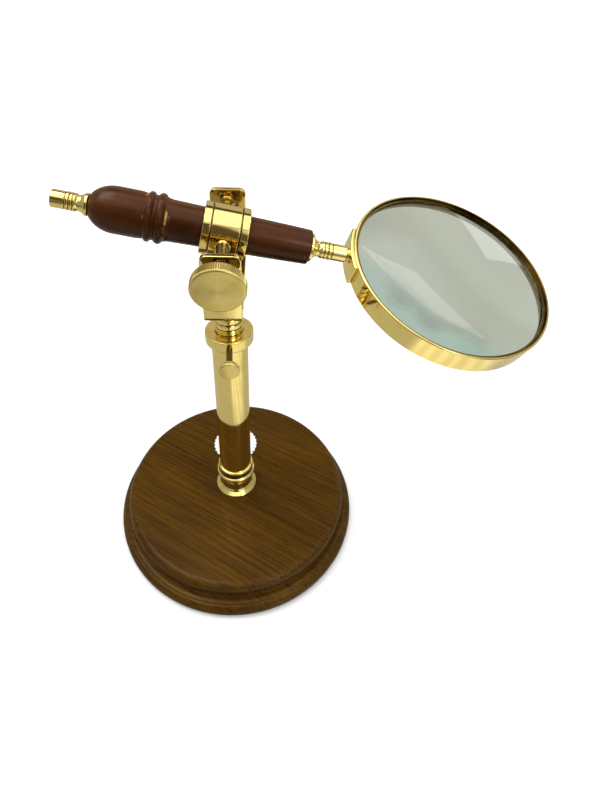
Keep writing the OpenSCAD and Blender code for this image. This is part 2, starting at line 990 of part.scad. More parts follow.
module lens_retaining_ring() {
  color(brass)
    lens_frame()
      rotate_extrude()
        band(lens_r, lens_top + lens_seat, lens_top + lens_seat + ledge_t, ledge_r);
}

wood_base();
felt_pad();
base_stud();
base_washer();
base_nut();
foot_flange();
post_tube();
tube_collar();
paper_seal();
lock_screw_stem();
lock_screw_head();
sliding_rod();
swivel_head();
swivel_grub_screw();
socket_cap();
ball_stud();
fork();
fork_nut();
pivot_screw();
pivot_nut();
clamp_ring();
clamp_screw_stem();
clamp_knob();
handle_grip();
tie_rod();
rear_ferrule();
front_ferrule();
rim_cradle();
lens_rim();
lens();
lens_retaining_ring();
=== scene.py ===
"""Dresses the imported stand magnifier: polished brass, stained turned wood and a ground glass.

Sizes are in millimetres here, with +Z up and the viewer at -Y, and are turned to metres when a mesh is made.
"""

from functools import partial, wraps

import bmesh
import bpy
import numpy as np
from mathutils import Matrix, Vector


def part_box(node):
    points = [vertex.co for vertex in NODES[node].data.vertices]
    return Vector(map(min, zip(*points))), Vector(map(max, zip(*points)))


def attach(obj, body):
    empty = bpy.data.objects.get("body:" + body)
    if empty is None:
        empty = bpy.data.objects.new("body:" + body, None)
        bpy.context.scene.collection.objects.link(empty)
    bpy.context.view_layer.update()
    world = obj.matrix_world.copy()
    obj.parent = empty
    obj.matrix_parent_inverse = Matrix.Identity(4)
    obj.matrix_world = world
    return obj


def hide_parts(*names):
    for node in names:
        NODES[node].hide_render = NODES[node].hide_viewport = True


bl_info = {
    "name": "Stand magnifier dressing",
    "version": (1, 0, 0),
    "blender": (4, 5, 0),
    "location": "3D View > Sidebar > Magnifier",
    "description": "Turned brass, stained wood and glass for the packed stand magnifier",
    "category": "Object",
}

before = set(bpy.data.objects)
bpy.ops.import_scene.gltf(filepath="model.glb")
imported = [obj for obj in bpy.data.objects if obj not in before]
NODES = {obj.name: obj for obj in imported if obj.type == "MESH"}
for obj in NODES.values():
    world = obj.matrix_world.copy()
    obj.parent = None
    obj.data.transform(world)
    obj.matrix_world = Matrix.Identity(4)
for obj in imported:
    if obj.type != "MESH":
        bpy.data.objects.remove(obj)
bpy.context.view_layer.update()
MM = 0.001
# Points of a mesh that are closer than this, in metres, are one point
SEAM = 2e-6


def linear(hex_colour):
    """sRGB hex to linear red, green and blue: the piecewise sRGB curve."""
    s = np.array([int(hex_colour[i : i + 2], 16) for i in (0, 2, 4)]) / 255
    return tuple(float(v) for v in np.where(s <= 0.04045, s / 12.92, ((s + 0.055) / 1.055) ** 2.4))


def rgba(colour):
    """A colour property's three numbers with full alpha."""
    return (*colour, 1.0)


def span(node, axis):
    """Length in metres of a CAD node's box along one axis."""
    low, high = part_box(node)
    return float(high[axis] - low[axis])


class MagnifierSizes(bpy.types.PropertyGroup):
    """Sizes that a maker of such a stand would change."""

    def length(name, description, millimetres):
        return bpy.props.FloatProperty(
            name=name, description=description, default=millimetres * MM, min=0.0, precision=4,
            unit="LENGTH", subtype="DISTANCE")

    base_diameter: length("Base diameter", "Over the lower moulding", span("wood_base", 0) / MM)
    tube_diameter: length("Tube diameter", "Outside of the post tube", 18.0)
    collar_diameter: length("Collar diameter", "Outside of the collar on the post", 23.6)
    knob_diameter: length("Knob diameter", "Over the clamp knob's knurling", 21.2)
    ring_diameter: length("Clamp ring diameter", "Outside of the ring round the handle", 21.8)
    rim_diameter: length("Rim diameter", "Outside of the lens rim", 90.0)
    rim_height: length("Rim height", "Along the lens axis", 10.0)
    strip_width: length("Fork width", "Width of the bent strip", 15.9)
    knob_ridges: bpy.props.IntProperty(
        name="Knob ridges", description="Ridges of the clamp knob's straight knurl", default=80,
        min=24, max=120)


class MagnifierFinish(bpy.types.PropertyGroup):
    """Colours and polish of the magnifier, and the colours of its floor."""

    def colour(name, description, hex_colour):
        return bpy.props.FloatVectorProperty(
            name=name, description=description, default=linear(hex_colour), min=0.0, max=1.0, size=3,
            subtype="COLOR")

    def factor(name, description, share):
        return bpy.props.FloatProperty(
            name=name, description=description, default=share, min=0.0, max=1.0, subtype="FACTOR")

    brass: colour("Brass", "Polished yellow brass", "EED887")
    brass_tarnish: colour("Tarnish", "Where the lacquer has let the brass darken", "DDBE62")
    # Aged brass is also the colour of the painted shade in grooves, gaps, the fork's inside and the thread's
    # valley
    aged_brass_and_shade: colour("Aged brass", "Brown skin of the brass inside the rim", "6E5A2E")
    base_wood: colour("Base wood", "Stained wood between the pores", "543806")
    base_pores: colour("Base pores", "Dark stain in the open pores", "301C03")
    handle_wood: colour("Handle wood", "Dark red-brown stain under gloss lacquer", "482813")
    handle_worn: colour("Handle wear", "Bare wood where the stain has rubbed off", "C8963A")
    glass: colour("Glass tint", "Faint grey-green of the thick glass", "E6EFE2")
    paper: colour("Paper", "Plain white paper", "F4F4F2")
    felt: colour("Felt", "Green felt under the base", "1E3A26")
    steel: colour("Steel", "Zinc-plated steel of the hidden screws", "B9B9B4")
    worn_base: colour("Base wear", "Bare wood in the chips and specks of the base", "CFA860")
    # Colours of the teal patch on the glass, a painted reflection
    painted_reflection_deep: colour("Glass tint, deep", "Deeper teal where the tinted patch begins", "BFD8CB")
    painted_reflection_middle: colour("Glass tint, middle", "Teal of the tinted patch", "C5DFD4")
    painted_reflection_pale: colour("Glass tint, pale", "Pale teal at the lens's edge", "D7F7EC")
    floor: colour("Floor", "Pale paper floor as the picture shows it", "FAFAFA")
    table: colour("Table", "The floor as the brass and the glass see it", "AFADA8")
    table_lit: colour("Lit table", "Daylight on the table's front right", "F1F0EB")
    table_far: colour("Far table", "The table's dark near edge", "453F38")
    polish: factor("Polish roughness", "Roughness of the polished brass", 0.055)
    lacquer: factor("Lacquer roughness", "Roughness of the lacquer on the base", 0.3)


# Frames of the parts, as 4 by 4 matrices in millimetres

def turn(axis, degrees):
    """Right-handed turn about one axis."""
    return np.array(Matrix.Rotation(np.radians(degrees), 4, axis))


def shift(x, y, z):
    """Move by x, y and z."""
    m = np.eye(4)
    m[:3, 3] = x, y, z
    return m


# As photographed, in degrees: the fork's swing and its leans to the viewer and to the side, the handle's tilt
# and roll in it, and the turn of the lock screw on the collar
SWING, LEAN, SIDE_LEAN, TILT, ROLL, LOCK_TURN = -0.8, 10, 1, 12.2, 9.3, 3
# Heights over the table, then the pivot's height over the ball and the lens's distance from the pivot
BASE_TOP, LOCK_HEIGHT, BALL_HEIGHT, PIVOT_REACH, LENS_REACH = 18.6, 131.7, 151.9, 38.9, 100.0
BALL = shift(0, 0, BALL_HEIGHT) @ turn("Z", SWING) @ turn("X", LEAN) @ turn("Y", SIDE_LEAN)
PIVOT = BALL @ shift(0, 0, PIVOT_REACH)
SCREW = PIVOT @ turn("X", 90)
HANDLE = PIVOT @ turn("Y", 90 + TILT)
LENS = HANDLE @ turn("Z", ROLL) @ shift(0, 0, LENS_REACH) @ turn("Y", -90)
LOCK = shift(0, 0, LOCK_HEIGHT) @ turn("Z", LOCK_TURN) @ turn("X", 90)
UPRIGHT = np.eye(4)


# Profiles and surfaces, as whole arrays

def rounded(corners, steps=6, hold=0.08, closed=False):
    """Profile with rounded corners, from rows of radius, height and rounding.

    Each corner is the circle that touches both sides, as the rational Bezier
    ((1-s)^2 A + 2 s (1-s) w P + s^2 B) / ((1-s)^2 + 2 s (1-s) w + s^2) with w the cosine of half the turn.
    A point is held a little way along the side before and after it, so that the flat sides shade flat.
    """
    c = np.array(corners, float)
    p, r = c[:, :2], c[:, 2]
    before = np.roll(p, 1, 0) - p
    after = np.roll(p, -1, 0) - p
    lb, la = np.linalg.norm(before, axis=1), np.linalg.norm(after, axis=1)
    ub, ua = before / np.maximum(lb, 1e-9)[:, None], after / np.maximum(la, 1e-9)[:, None]
    half = 0.5 * (np.pi - np.arccos(np.clip((ub * ua).sum(1), -1, 1)))
    reach = np.minimum(r * np.tan(half), 0.45 * np.minimum(lb, la))
    a, b = p + ub * reach[:, None], p + ua * reach[:, None]
    w = np.cos(half)[:, None, None]
    s = np.linspace(0, 1, steps)[None, :, None]
    top = (1 - s) ** 2 * a[:, None] + 2 * s * (1 - s) * w * p[:, None] + s ** 2 * b[:, None]
    arc = top / ((1 - s) ** 2 + 2 * s * (1 - s) * w + s ** 2)
    hold_b = np.minimum(hold, 0.2 * lb)[:, None]
    hold_a = np.minimum(hold, 0.2 * la)[:, None]
    rows = np.concatenate([(a + ub * hold_b)[:, None], arc, (b + ua * hold_a)[:, None]], 1)
    if closed:
        return clean(rows.reshape(-1, 2), True)
    inner = rows[1:-1].reshape(-1, 2)
    return clean(np.concatenate([p[:1], inner, p[-1:]]), False)


def clean(points, closed):
    """Leaves out points that lie on the one before. An open profile always keeps its first point."""
    gap = np.linalg.norm(points - np.roll(points, 1, 0), axis=1)
    keep = gap > 2e-3
    if not closed:
        keep[0] = True
    return points[keep]


def arc(r, z, radius, start, end, steps):
    """Part of a circle in a profile: its middle plus radius times the cosine and sine of each angle."""
    angle = np.radians(np.linspace(start, end, steps))
    return np.stack([r + radius * np.cos(angle), z + radius * np.sin(angle)], 1)


def corner_inset(inset, radius):
    """What a round corner takes off, minus, at a distance in from the end: sqrt(r^2 - (r - inset)^2) - r."""
    inset = np.clip(inset, 0, radius)
    return np.sqrt(radius ** 2 - (radius - inset) ** 2) - radius


def smoothed(values, reach):
    """Running mean over a Hann window, with the ends held."""
    window = np.hanning(2 * reach + 3)[1:-1]
    padded = np.pad(values, reach, mode="edge")
    return np.convolve(padded, window / window.sum(), mode="valid")


def grid_faces(rows, columns, wrap_rows, wrap_columns):
    """Quads of a grid, in the order row, next column, next row, previous column."""
    i = np.arange(rows if wrap_rows else rows - 1)[:, None]
    j = np.arange(columns if wrap_columns else columns - 1)[None, :]
    i2, j2 = (i + 1) % rows, (j + 1) % columns
    corners = [i * columns + j, i * columns + j2, i2 * columns + j2, i2 * columns + j]
    return np.stack(corners, -1).reshape(-1, 4)


def surface(points, wrap_rows=False, wrap_columns=True, along=None, material=0):
    """One surface from a grid of points, with its UV map: u round the columns, v along the rows, both 0 to 1.

    material is one slot number, or a grid of them that fits the rows and columns of faces.
    """
    rows, columns = points.shape[:2]
    faces = grid_faces(rows, columns, wrap_rows, wrap_columns)
    last_row, last_column = rows - (0 if wrap_rows else 1), columns - (0 if wrap_columns else 1)
    v = np.linspace(0, 1, rows + 1) if along is None else np.append(along, 1.0)
    i = np.arange(last_row)[:, None] + np.zeros(last_column, int)[None, :]
    j = np.arange(last_column)[None, :] + np.zeros(last_row, int)[:, None]
    u0, u1 = j / last_column, (j + 1) / last_column
    v0, v1 = v[i], v[np.minimum(i + 1, rows)]
    uv = np.stack([np.stack(corner, -1) for corner in ((u0, v0), (u1, v0), (u1, v1), (u0, v1))], 2)
    slots = np.broadcast_to(material, (last_row, last_column))
    return {"points": points.reshape(-1, 3), "faces": faces, "uv": uv.reshape(-1, 2),
            "material": slots.ravel()}


def rows_where(profile, test, closed=False):
    """Column of 1 for each row of faces whose middle radius and height pass the test, and 0 elsewhere."""
    middle = (profile + np.roll(profile, -1, 0)) / 2
    middle = middle if closed else middle[:-1]
    return test(middle[:, 0], middle[:, 1]).astype(int)[:, None]


def lathe(profile, place, segments=192, closed=False, radial=None, material=0):
    """Surface of revolution: (r cos a, r sin a, z) for each profile point and each angle a, moved by place.

    radial(angle, row) gives an amount that is added to the radius, for knurling and threads.
    """
    angle = np.arange(segments) * 2 * np.pi / segments
    r = np.repeat(profile[:, :1], segments, 1)
    if radial is not None:
        r = r + radial(angle[None, :], np.arange(len(profile))[:, None])
    z = np.repeat(profile[:, 1:2], segments, 1)
    points = np.stack([r * np.cos(angle), r * np.sin(angle), z], -1)
    step = np.linalg.norm(np.diff(profile, axis=0), axis=1)
    along = np.concatenate([[0], np.cumsum(step)]) / max(step.sum(), 1e-9)
    return surface(moved(points, place), wrap_rows=closed, along=along, material=material)


def moved(points, place):
    """Points carried into a frame."""
    return points @ place[:3, :3].T + place[:3, 3]


def bent_strip(path, normals, across, half_width, half_thick, edge):
    """Rounded rectangle carried along a path, with both ends closed.

    At each path point the section lies in the plane of across and the normal: half_width along across and
    half_thick along the normal, with corner circles of radius edge.
    """
    quarter = np.linspace(0, np.pi / 2, 5)
    turns = np.concatenate([quarter + k * np.pi / 2 for k in range(4)])
    sign_x = np.repeat([1, -1, -1, 1], 5)
    sign_y = np.repeat([1, 1, -1, -1], 5)
    e = np.minimum(edge, 0.9 * np.minimum(half_width, half_thick))[:, None]
    x = sign_x * (half_width[:, None] - e) + e * np.cos(turns)
    y = sign_y * (half_thick[:, None] - e) + e * np.sin(turns)
    grid = path[:, None] + x[..., None] * across + y[..., None] * normals[:, None]
    ends = np.repeat(grid.mean(1)[[0, -1]][:, None], grid.shape[1], 1)
    return np.concatenate([ends[:1], grid, ends[1:]])


def make_piece(name, surfaces, materials, body, stands_for):
    """Puts surfaces into one mesh in metres, merges seams and poles, and hands it to the frame."""
    starts = np.cumsum([0] + [len(s["points"]) for s in surfaces[:-1]])
    points = np.concatenate([s["points"] for s in surfaces]) * MM
    faces = np.concatenate([s["faces"] + start for s, start in zip(surfaces, starts)])
    mesh = bpy.data.meshes.new(name)
    mesh.from_pydata(points.tolist(), [], faces.tolist())
    layer = mesh.uv_layers.new(name="UVMap")
    layer.data.foreach_set("uv", np.concatenate([s["uv"] for s in surfaces]).ravel())
    mesh.polygons.foreach_set("material_index", np.concatenate([s["material"] for s in surfaces]))
    work = bmesh.new()
    work.from_mesh(mesh)
    bmesh.ops.remove_doubles(work, verts=work.verts, dist=SEAM)
    work.to_mesh(mesh)
    work.free()
    mesh.polygons.foreach_set("use_smooth", np.ones(len(mesh.polygons), bool))
    for material in materials:
        mesh.materials.append(material)
    piece = bpy.data.objects.new(name, mesh)
    bpy.context.scene.collection.objects.link(piece)
    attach(piece, body)
    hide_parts(*stands_for)


def dress_node(node, material):
    """Gives a CAD node its material and leaves its mesh alone."""
    mesh = NODES[node].data
    mesh.materials.clear()
    mesh.materials.append(material)


# Materials

def fill_sockets(tree, node, values):
    """Sets a node's sockets, by name or number, to plain values, sockets or other nodes' first output."""
    for name, value in values.items():
        if isinstance(value, bpy.types.Node):
            value = next(socket for socket in value.outputs if socket.enabled)
        if isinstance(value, bpy.types.NodeSocket):
            tree.links.new(value, node.inputs[name])
        else:
            node.inputs[name].default_value = value


def add_node(tree, kind, values=None, stops=(), **settings):
    """Adds a shader node with its settings, its sockets and its colour stops. A Mix node mixes colours."""
    node = tree.nodes.new("ShaderNode" + kind)
    if kind == "Mix":
        node.data_type = "RGBA"
    for name, value in settings.items():
        setattr(node, name, value)
    fill_sockets(tree, node, values or {})
    if stops:
        ramp = node.color_ramp
        while len(ramp.elements) < len(stops):
            ramp.elements.new(0.5)
        for element, (place, colour) in zip(ramp.elements, stops):
            element.position = place
            element.color = colour
    return node


def material_named(name):
    """Makes a function that returns shader sockets into one that gives the whole material, made only once."""
    def wrap(sockets):
        @wraps(sockets)
        def make(finish, name=name, **settings):
            found = bpy.data.materials.get(name)
            if found:
                return found
            material = bpy.data.materials.new(name)
            material.use_nodes = True
            tree = material.node_tree
            tree.nodes.clear()
            shader = add_node(tree, "BsdfPrincipled")
            add_node(tree, "OutputMaterial", {"Surface": shader})
            place = add_node(tree, "TexCoord").outputs["Object"]
            fill_sockets(tree, shader, sockets(partial(add_node, tree), place, finish, **settings))
            return material
        return make
    return wrap


def mixed(colour, other, share):
    """A share of one colour and the rest of another."""
    return tuple(share * a + (1 - share) * b for a, b in zip(colour, other))


def times(colour, *shares):
    """A colour with its red, green and blue multiplied by three numbers, or all by one."""
    shares = shares * 3 if len(shares) == 1 else shares
    return (*(part * share for part, share in zip(colour, shares)), 1)


def per_mm(size):
    """Noise scale on Object coordinates in metres for a feature of that many millimetres."""
    return 1.0 / (size * MM)


BLACK = (0.0, 0.0, 0.0, 1.0)
WHITE = (1.0, 1.0, 1.0, 1.0)


@material_named("polished_lacquered_brass")
def polished_brass(add, place, finish, rough=None, wave=0.02):
    """Yellow brass, buffed and lacquered: clear mirror reflections with faint smears and slow ripples."""
    rough = finish.polish if rough is None else rough
    # Smears of handling, about 7 mm wide
    smear = add("TexNoise", {"Vector": place, "Scale": per_mm(7), "Detail": 4.0, "Roughness": 0.6})
    fine = add("TexNoise", {"Vector": place, "Scale": per_mm(0.7), "Detail": 3.0})
    tone = add("Mix", {
        0: add("MapRange", {0: smear, 1: 0.5, 2: 0.8, 3: 0.0, 4: 0.5}),
        6: rgba(finish.brass), 7: rgba(finish.brass_tarnish)})
    gloss = add("MapRange", {0: smear, 1: 0.35, 2: 0.75, 3: rough * 0.7, 4: rough * 2.0})
    # Polishing leaves slow ripples about 9 mm long, and the lacquer a fine skin
    ripple = add("TexNoise", {"Vector": place, "Scale": per_mm(9), "Detail": 1.0})
    bump = add("Bump", {"Strength": wave, "Distance": 0.002, "Height": ripple})
    skin = add("Bump", {"Strength": 0.012, "Distance": 0.0002, "Height": fine, "Normal": bump})
    return {"Metallic": 1.0, "Base Color": tone, "Roughness": gloss, "Normal": skin}


@material_named("cut_thread_brass")
def threaded_brass(add, place, finish, pitch, start, length):
    """Brass with a cut thread: bright crests, and painted shade in the valley.

    The valley climbs one pitch a turn: v times length over pitch, less u, plus start over pitch, is half way
    between two whole turns there.
    """
    uv = add("TexCoord").outputs["UV"]
    split = add("SeparateXYZ", {0: uv})
    turns = add("Math", {0: split.outputs[1], 1: length / pitch}, operation="MULTIPLY")
    turns = add("Math", {0: turns, 1: split.outputs[0]}, operation="SUBTRACT")
    turns = add("Math", {0: turns, 1: start / pitch}, operation="ADD")
    share = add("Math", {0: turns}, operation="FRACT")
    off = add("Math", {0: share, 1: 0.5}, operation="SUBTRACT")
    off = add("Math", {0: off}, operation="ABSOLUTE")
    # Painted shade: the valley is coloured far darker than the brass, so that the thread shows
    valley = add("MapRange", {0: off, 1: 0.15, 2: 0.3, 3: 1.0, 4: 0.0})
    aged_and_shade = rgba(finish.aged_brass_and_shade)
    tone = add("Mix", {0: valley, 6: rgba(finish.brass), 7: times(aged_and_shade, 0.5, 0.4, 0.3)})
    return {"Metallic": 1.0, "Roughness": 0.16, "Base Color": tone}


@material_named("spun_satin_brass")
def spun_brass(add, place, finish):
    """Brass faced on a lathe: fine rings that spread the light into soft fans from the middle."""
    uv = add("TexCoord").outputs["UV"]
    # Tool marks 0.12 mm apart are too fine to show, so they are drawn coarser: 60 along the profile
    stretch = add("Mapping", {"Vector": uv, "Scale": (2.0, 60.0, 1.0)})
    marks = add("TexNoise", {"Vector": stretch, "Scale": 1.0, "Detail": 3.0})
    patina = add("TexNoise", {"Vector": place, "Scale": per_mm(5), "Detail": 4.0})
    # Painted shade: the spun faces are coloured darker than the polished brass, 0.82 and 0.85 of it
    tone = add("Mix", {
        0: add("MapRange", {0: patina, 1: 0.4, 2: 0.75, 3: 0.05, 4: 0.7}),
        6: times(finish.brass, 0.82), 7: times(finish.brass_tarnish, 0.85)})
    gloss = add("MapRange", {0: marks, 1: 0.3, 2: 0.7, 3: 0.26, 4: 0.34})
    bump = add("Bump", {"Strength": 0.025, "Distance": 0.0001, "Height": marks})
    tangent = add("Tangent", direction_type="UV_MAP", uv_map="UVMap")
    return {
        "Metallic": 1.0, "Anisotropic": 0.7, "Base Color": tone, "Roughness": gloss, "Normal": bump,
        "Tangent": tangent}


@material_named("tarnished_brass_and_painted_shade")
def tarnished_brass_and_shade(add, place, finish):
    """Brass that was polished but is seldom wiped: clear reflections under a darker, browner film, which is
    also painted shade inside the fork and in the ferrules' grooves.
    """
    film = add("TexNoise", {"Vector": place, "Scale": per_mm(8), "Detail": 3.0})
    brass, aged_and_shade = rgba(finish.brass_tarnish), rgba(finish.aged_brass_and_shade)
    tone = add("Mix", {0: film, 6: mixed(brass, aged_and_shade, 0.35), 7: mixed(brass, aged_and_shade, 0.55)})
    gloss = add("MapRange", {0: film, 1: 0.3, 2: 0.7, 3: 0.08, 4: 0.16})
    return {"Metallic": 1.0, "Base Color": tone, "Roughness": gloss}


@material_named("dull_aged_brass_and_painted_shade")
def dull_brass_and_painted_shade(add, place, finish):
    """Brass inside the rim and in the grooves and gaps, browned by age and dull, and also darker than the
    polished brass as painted shade.
    """
    patina = add("TexNoise", {"Vector": place, "Scale": per_mm(6), "Detail": 4.0})
    aged_and_shade = rgba(finish.aged_brass_and_shade)
    tone = add("Mix", {0: patina, 6: times(aged_and_shade, 0.6, 0.6, 0.5), 7: times(aged_and_shade, 1.5, 1.5, 1.4)})
    gloss = add("MapRange", {0: patina, 1: 0.3, 2: 0.7, 3: 0.16, 4: 0.3})
    return {"Metallic": 1.0, "Base Color": tone, "Roughness": gloss}


@material_named("stained_satin_oak")
def stained_base_wood(add, place, finish):
    """Open-pored wood, stained brown under satin lacquer: long dark pores over slow honey and brown bands."""
    # The board's length lies 31 degrees to the viewer's right
    along = add("Mapping", {"Vector": place, "Rotation": (0.0, 0.0, 0.54)})
    # Pores drawn about 1 mm wide, coarser than real ones so that they show, and 50 mm long
    pores_at = add("Mapping", {"Vector": along, "Scale": (0.022, 1.0, 0.75)})
    pores = add("TexNoise", {"Vector": pores_at, "Scale": per_mm(1.1), "Detail": 6.0, "Roughness": 0.75})
    # Growth bands 11 mm wide that wander along the board
    bands_at = add("Mapping", {"Vector": along, "Scale": (0.09, 1.0, 0.8)})
    bands = add("TexNoise", {"Vector": bands_at, "Scale": per_mm(11), "Detail": 3.0, "Distortion": 0.4})
    blotch = add("TexNoise", {"Vector": place, "Scale": per_mm(38), "Detail": 2.0})
    pore_dark = add("MapRange", {0: pores, 1: 0.38, 2: 0.56, 3: 0.95, 4: 0.0})
    base = rgba(finish.base_wood)
    tones = add("ValToRGB", {0: bands}, stops=[
        (0.32, times(base, 0.75, 0.7, 0.65)), (0.5, base), (0.68, times(base, 1.25, 1.2, 1.1))])
    slow = add("Mix", {
        0: add("MapRange", {0: blotch, 1: 0.35, 2: 0.7, 3: 0.0, 4: 0.45}),
        6: tones, 7: times(base, 0.6, 0.55, 0.6)})
    grain = add("Mix", {0: pore_dark, 6: slow, 7: rgba(finish.base_pores)})
    # Bare chips along the front of the bottom edge and a few pale specks
    split = add("SeparateXYZ", {0: place})
    low = add("MapRange", {0: split.outputs[2], 1: 0.0022, 2: 0.0008})
    front = add("MapRange", {0: split.outputs[1], 1: -0.0655, 2: -0.0672})
    side = add("MapRange", {0: split.outputs[0], 1: -0.004, 2: 0.004})
    flake = add("TexNoise", {"Vector": place, "Scale": per_mm(2.6), "Detail": 3.0})
    flaked = add("MapRange", {0: flake, 1: 0.5, 2: 0.54})
    chip = low
    for mask in (front, side, flaked):
        chip = add("Math", {0: chip, 1: mask}, operation="MULTIPLY")
    spots = add("TexVoronoi", {"Vector": place, "Scale": per_mm(24)})
    speck = add("MapRange", {0: spots, 1: 0.022, 2: 0.014, 3: 0.0, 4: 0.8})
    bare = add("Math", {0: chip, 1: speck}, operation="MAXIMUM")
    colour = add("Mix", {0: bare, 6: grain, 7: rgba(finish.worn_base)})
    bump = add("Bump", {"Strength": 0.18, "Distance": 0.0002, "Height": pore_dark}, invert=True)
    gloss = add("MapRange", {0: blotch, 1: 0.3, 2: 0.7, 3: finish.lacquer * 0.85, 4: finish.lacquer * 1.3})
    return {
        "IOR": 1.5, "Specular IOR Level": 0.15, "Specular Tint": (1.0, 0.72, 0.4, 1.0), "Coat Weight": 0.06,
        "Coat Roughness": 0.1, "Base Color": colour, "Roughness": gloss, "Normal": bump}


@material_named("stained_gloss_beech")
def lacquered_handle_wood(add, place, finish):
    """Close-grained wood, stained red-brown under gloss: deep colour and soft bands, worn at the edges."""
    # The handle's own axis is turned to X: back to the clamp, then down by its slope
    centred = add("Mapping", {"Vector": place, "Location": tuple(-HANDLE[:3, 3] * MM)})
    slope = float(np.radians(SIDE_LEAN + TILT))
    turned = add("Mapping", {"Vector": centred, "Rotation": (0.0, -slope, 0.0)})
    figure_at = add("Mapping", {"Vector": turned, "Scale": (0.12, 1.0, 1.0)})
    figure = add("TexNoise", {"Vector": figure_at, "Scale": per_mm(4.5), "Detail": 5.0, "Distortion": 0.5})
    mottle = add("TexNoise", {"Vector": turned, "Scale": per_mm(14), "Detail": 2.0})
    base = rgba(finish.handle_wood)
    tones = add("ValToRGB", {0: figure}, stops=[
        (0.3, times(base, 0.5, 0.45, 0.45)), (0.52, base), (0.72, times(base, 1.6, 1.5, 1.3))])
    deep = add("Mix", {
        0: add("MapRange", {0: mottle, 1: 0.4, 2: 0.7, 3: 0.0, 4: 0.7}),
        6: tones, 7: times(base, 1.0, 0.65, 0.4)})
    # Rubbed places: in front of the second bead, behind the first and at the front end
    split = add("SeparateXYZ", {0: turned})
    rub = add("TexNoise", {"Vector": turned, "Scale": per_mm(6.0), "Detail": 6.0, "Roughness": 0.75})
    worn = None
    # Each by its place and half width along the handle, in metres, and by how much of it is rubbed
    for middle, reach, need in ((-0.0234, 0.0006, 0.53), (-0.0321, 0.0004, 0.6), (0.0345, 0.001, 0.61)):
        away = add("Math", {0: split.outputs[0], 1: middle}, operation="SUBTRACT")
        size = add("Math", {0: away}, operation="ABSOLUTE")
        near = add("MapRange", {0: size, 1: reach, 2: reach * 0.3})
        loose = add("MapRange", {0: rub, 1: need - 0.04, 2: need + 0.04})
        both = add("Math", {0: near, 1: loose}, operation="MULTIPLY")
        worn = both if worn is None else add("Math", {0: worn, 1: both}, operation="MAXIMUM")
    colour = add("Mix", {0: worn, 6: deep, 7: rgba(finish.handle_worn)})
    skin = add("TexNoise", {"Vector": turned, "Scale": per_mm(2.4), "Detail": 2.0})
    bump = add("Bump", {"Strength": 0.05, "Distance": 0.0005, "Height": skin})
    gloss = add("MapRange", {0: mottle, 1: 0.3, 2: 0.7, 3: 0.2, 4: 0.34})
    return {
        "IOR": 1.5, "Specular IOR Level": 0.15, "Specular Tint": (1.0, 0.75, 0.5, 1.0), "Coat Weight": 0.08,
        "Coat Roughness": 0.15, "Base Color": colour, "Roughness": gloss, "Normal": bump}


@material_named("polished_crown_glass")
def ground_glass(add, place, finish):
    """Thick crown glass, ground and polished: clear, a little grey-green, with dust that barely dulls it.

    Near one edge a curved patch is tinted teal. It is paint on the glass, in place of the reflections that
    the photograph shows there.
    """
    dust = add("TexNoise", {"Vector": place, "Scale": per_mm(12), "Detail": 3.0})
    haze = add("MapRange", {0: dust, 1: 0.45, 2: 0.8, 3: 0.0, 4: 0.02})
    middle = (LENS @ np.array([0, 0, 0, 1.0]))[:3] * MM
    off = add("VectorMath", {0: place, 1: tuple(middle)}, operation="SUBTRACT")
    reach = add("VectorMath", {0: off}, operation="LENGTH")
    # The patch lies along the edge that is nearest to the viewer and the clamp
    towards = add("VectorMath", {0: off, 1: (-12.4, -18.6, -1.2)}, operation="DOT_PRODUCT")
    facets = add("TexVoronoi", {"Vector": place, "Scale": per_mm(13)})
    # Distance from the lens's middle as a share of its radius, with facets that make the patch's edge uneven
    share = add("Math", {0: reach, 1: 1 / 0.044}, operation="MULTIPLY")
    share = add("Math", {0: facets, 1: 0.22, 2: share}, operation="MULTIPLY_ADD")
    clear = rgba(finish.glass)
    # The teal tones near the edge are a painted reflection
    tones = add("ValToRGB", {0: share}, stops=[
        (0.74, clear), (0.78, rgba(finish.painted_reflection_deep)), (0.88, rgba(finish.painted_reflection_middle)),
        (0.92, rgba(finish.painted_reflection_pale)), (1.0, rgba(finish.painted_reflection_pale))])
    side = add("MapRange", {0: towards, 1: 0.42, 2: 0.66})
    tone = add("Mix", {0: side, 6: clear, 7: tones})
    return {"Transmission Weight": 1.0, "IOR": 1.52, "Base Color": tone, "Roughness": haze}


@material_named("uncoated_paper")
def plain_paper(add, place, finish):
    """Uncoated white paper with a slight tooth."""
    tooth = add("TexNoise", {"Vector": place, "Scale": per_mm(0.5), "Detail": 4.0})
    paper = rgba(finish.paper)
    tone = add("Mix", {0: tooth, 6: paper, 7: times(paper, 0.93, 0.92, 0.9)})
    bump = add("Bump", {"Strength": 0.2, "Distance": 0.0001, "Height": tooth})
    return {"Roughness": 0.85, "Base Color": tone, "Normal": bump}


@material_named("zinc_plated_steel")
def zinc_steel(add, place, finish):
    """Zinc-plated steel: dull silver with a faint crystal mottle."""
    cells = add("TexVoronoi", {"Vector": place, "Scale": per_mm(1.5)})
    steel = rgba(finish.steel)
    tone = add("Mix", {0: cells, 6: steel, 7: times(steel, 0.8, 0.8, 0.82)})
    gloss = add("MapRange", {0: cells, 1: 0.0, 2: 1.0, 3: 0.3, 4: 0.45})
    return {"Metallic": 1.0, "Base Color": tone, "Roughness": gloss}


@material_named("pressed_wool_felt")
def wool_felt(add, place, finish):
    """Pressed wool felt: matte, with fibres that show as fine fuzz."""
    fibres = add("TexNoise", {"Vector": place, "Scale": per_mm(0.8), "Detail": 6.0, "Distortion": 2.0})
    felt = rgba(finish.felt)
    tone = add("Mix", {0: fibres, 6: times(felt, 0.7), 7: times(felt, 1.3)})
    bump = add("Bump", {"Strength": 0.5, "Distance": 0.0003, "Height": fibres})
    return {"Roughness": 0.95, "Sheen Weight": 0.3, "Base Color": tone, "Normal": bump}


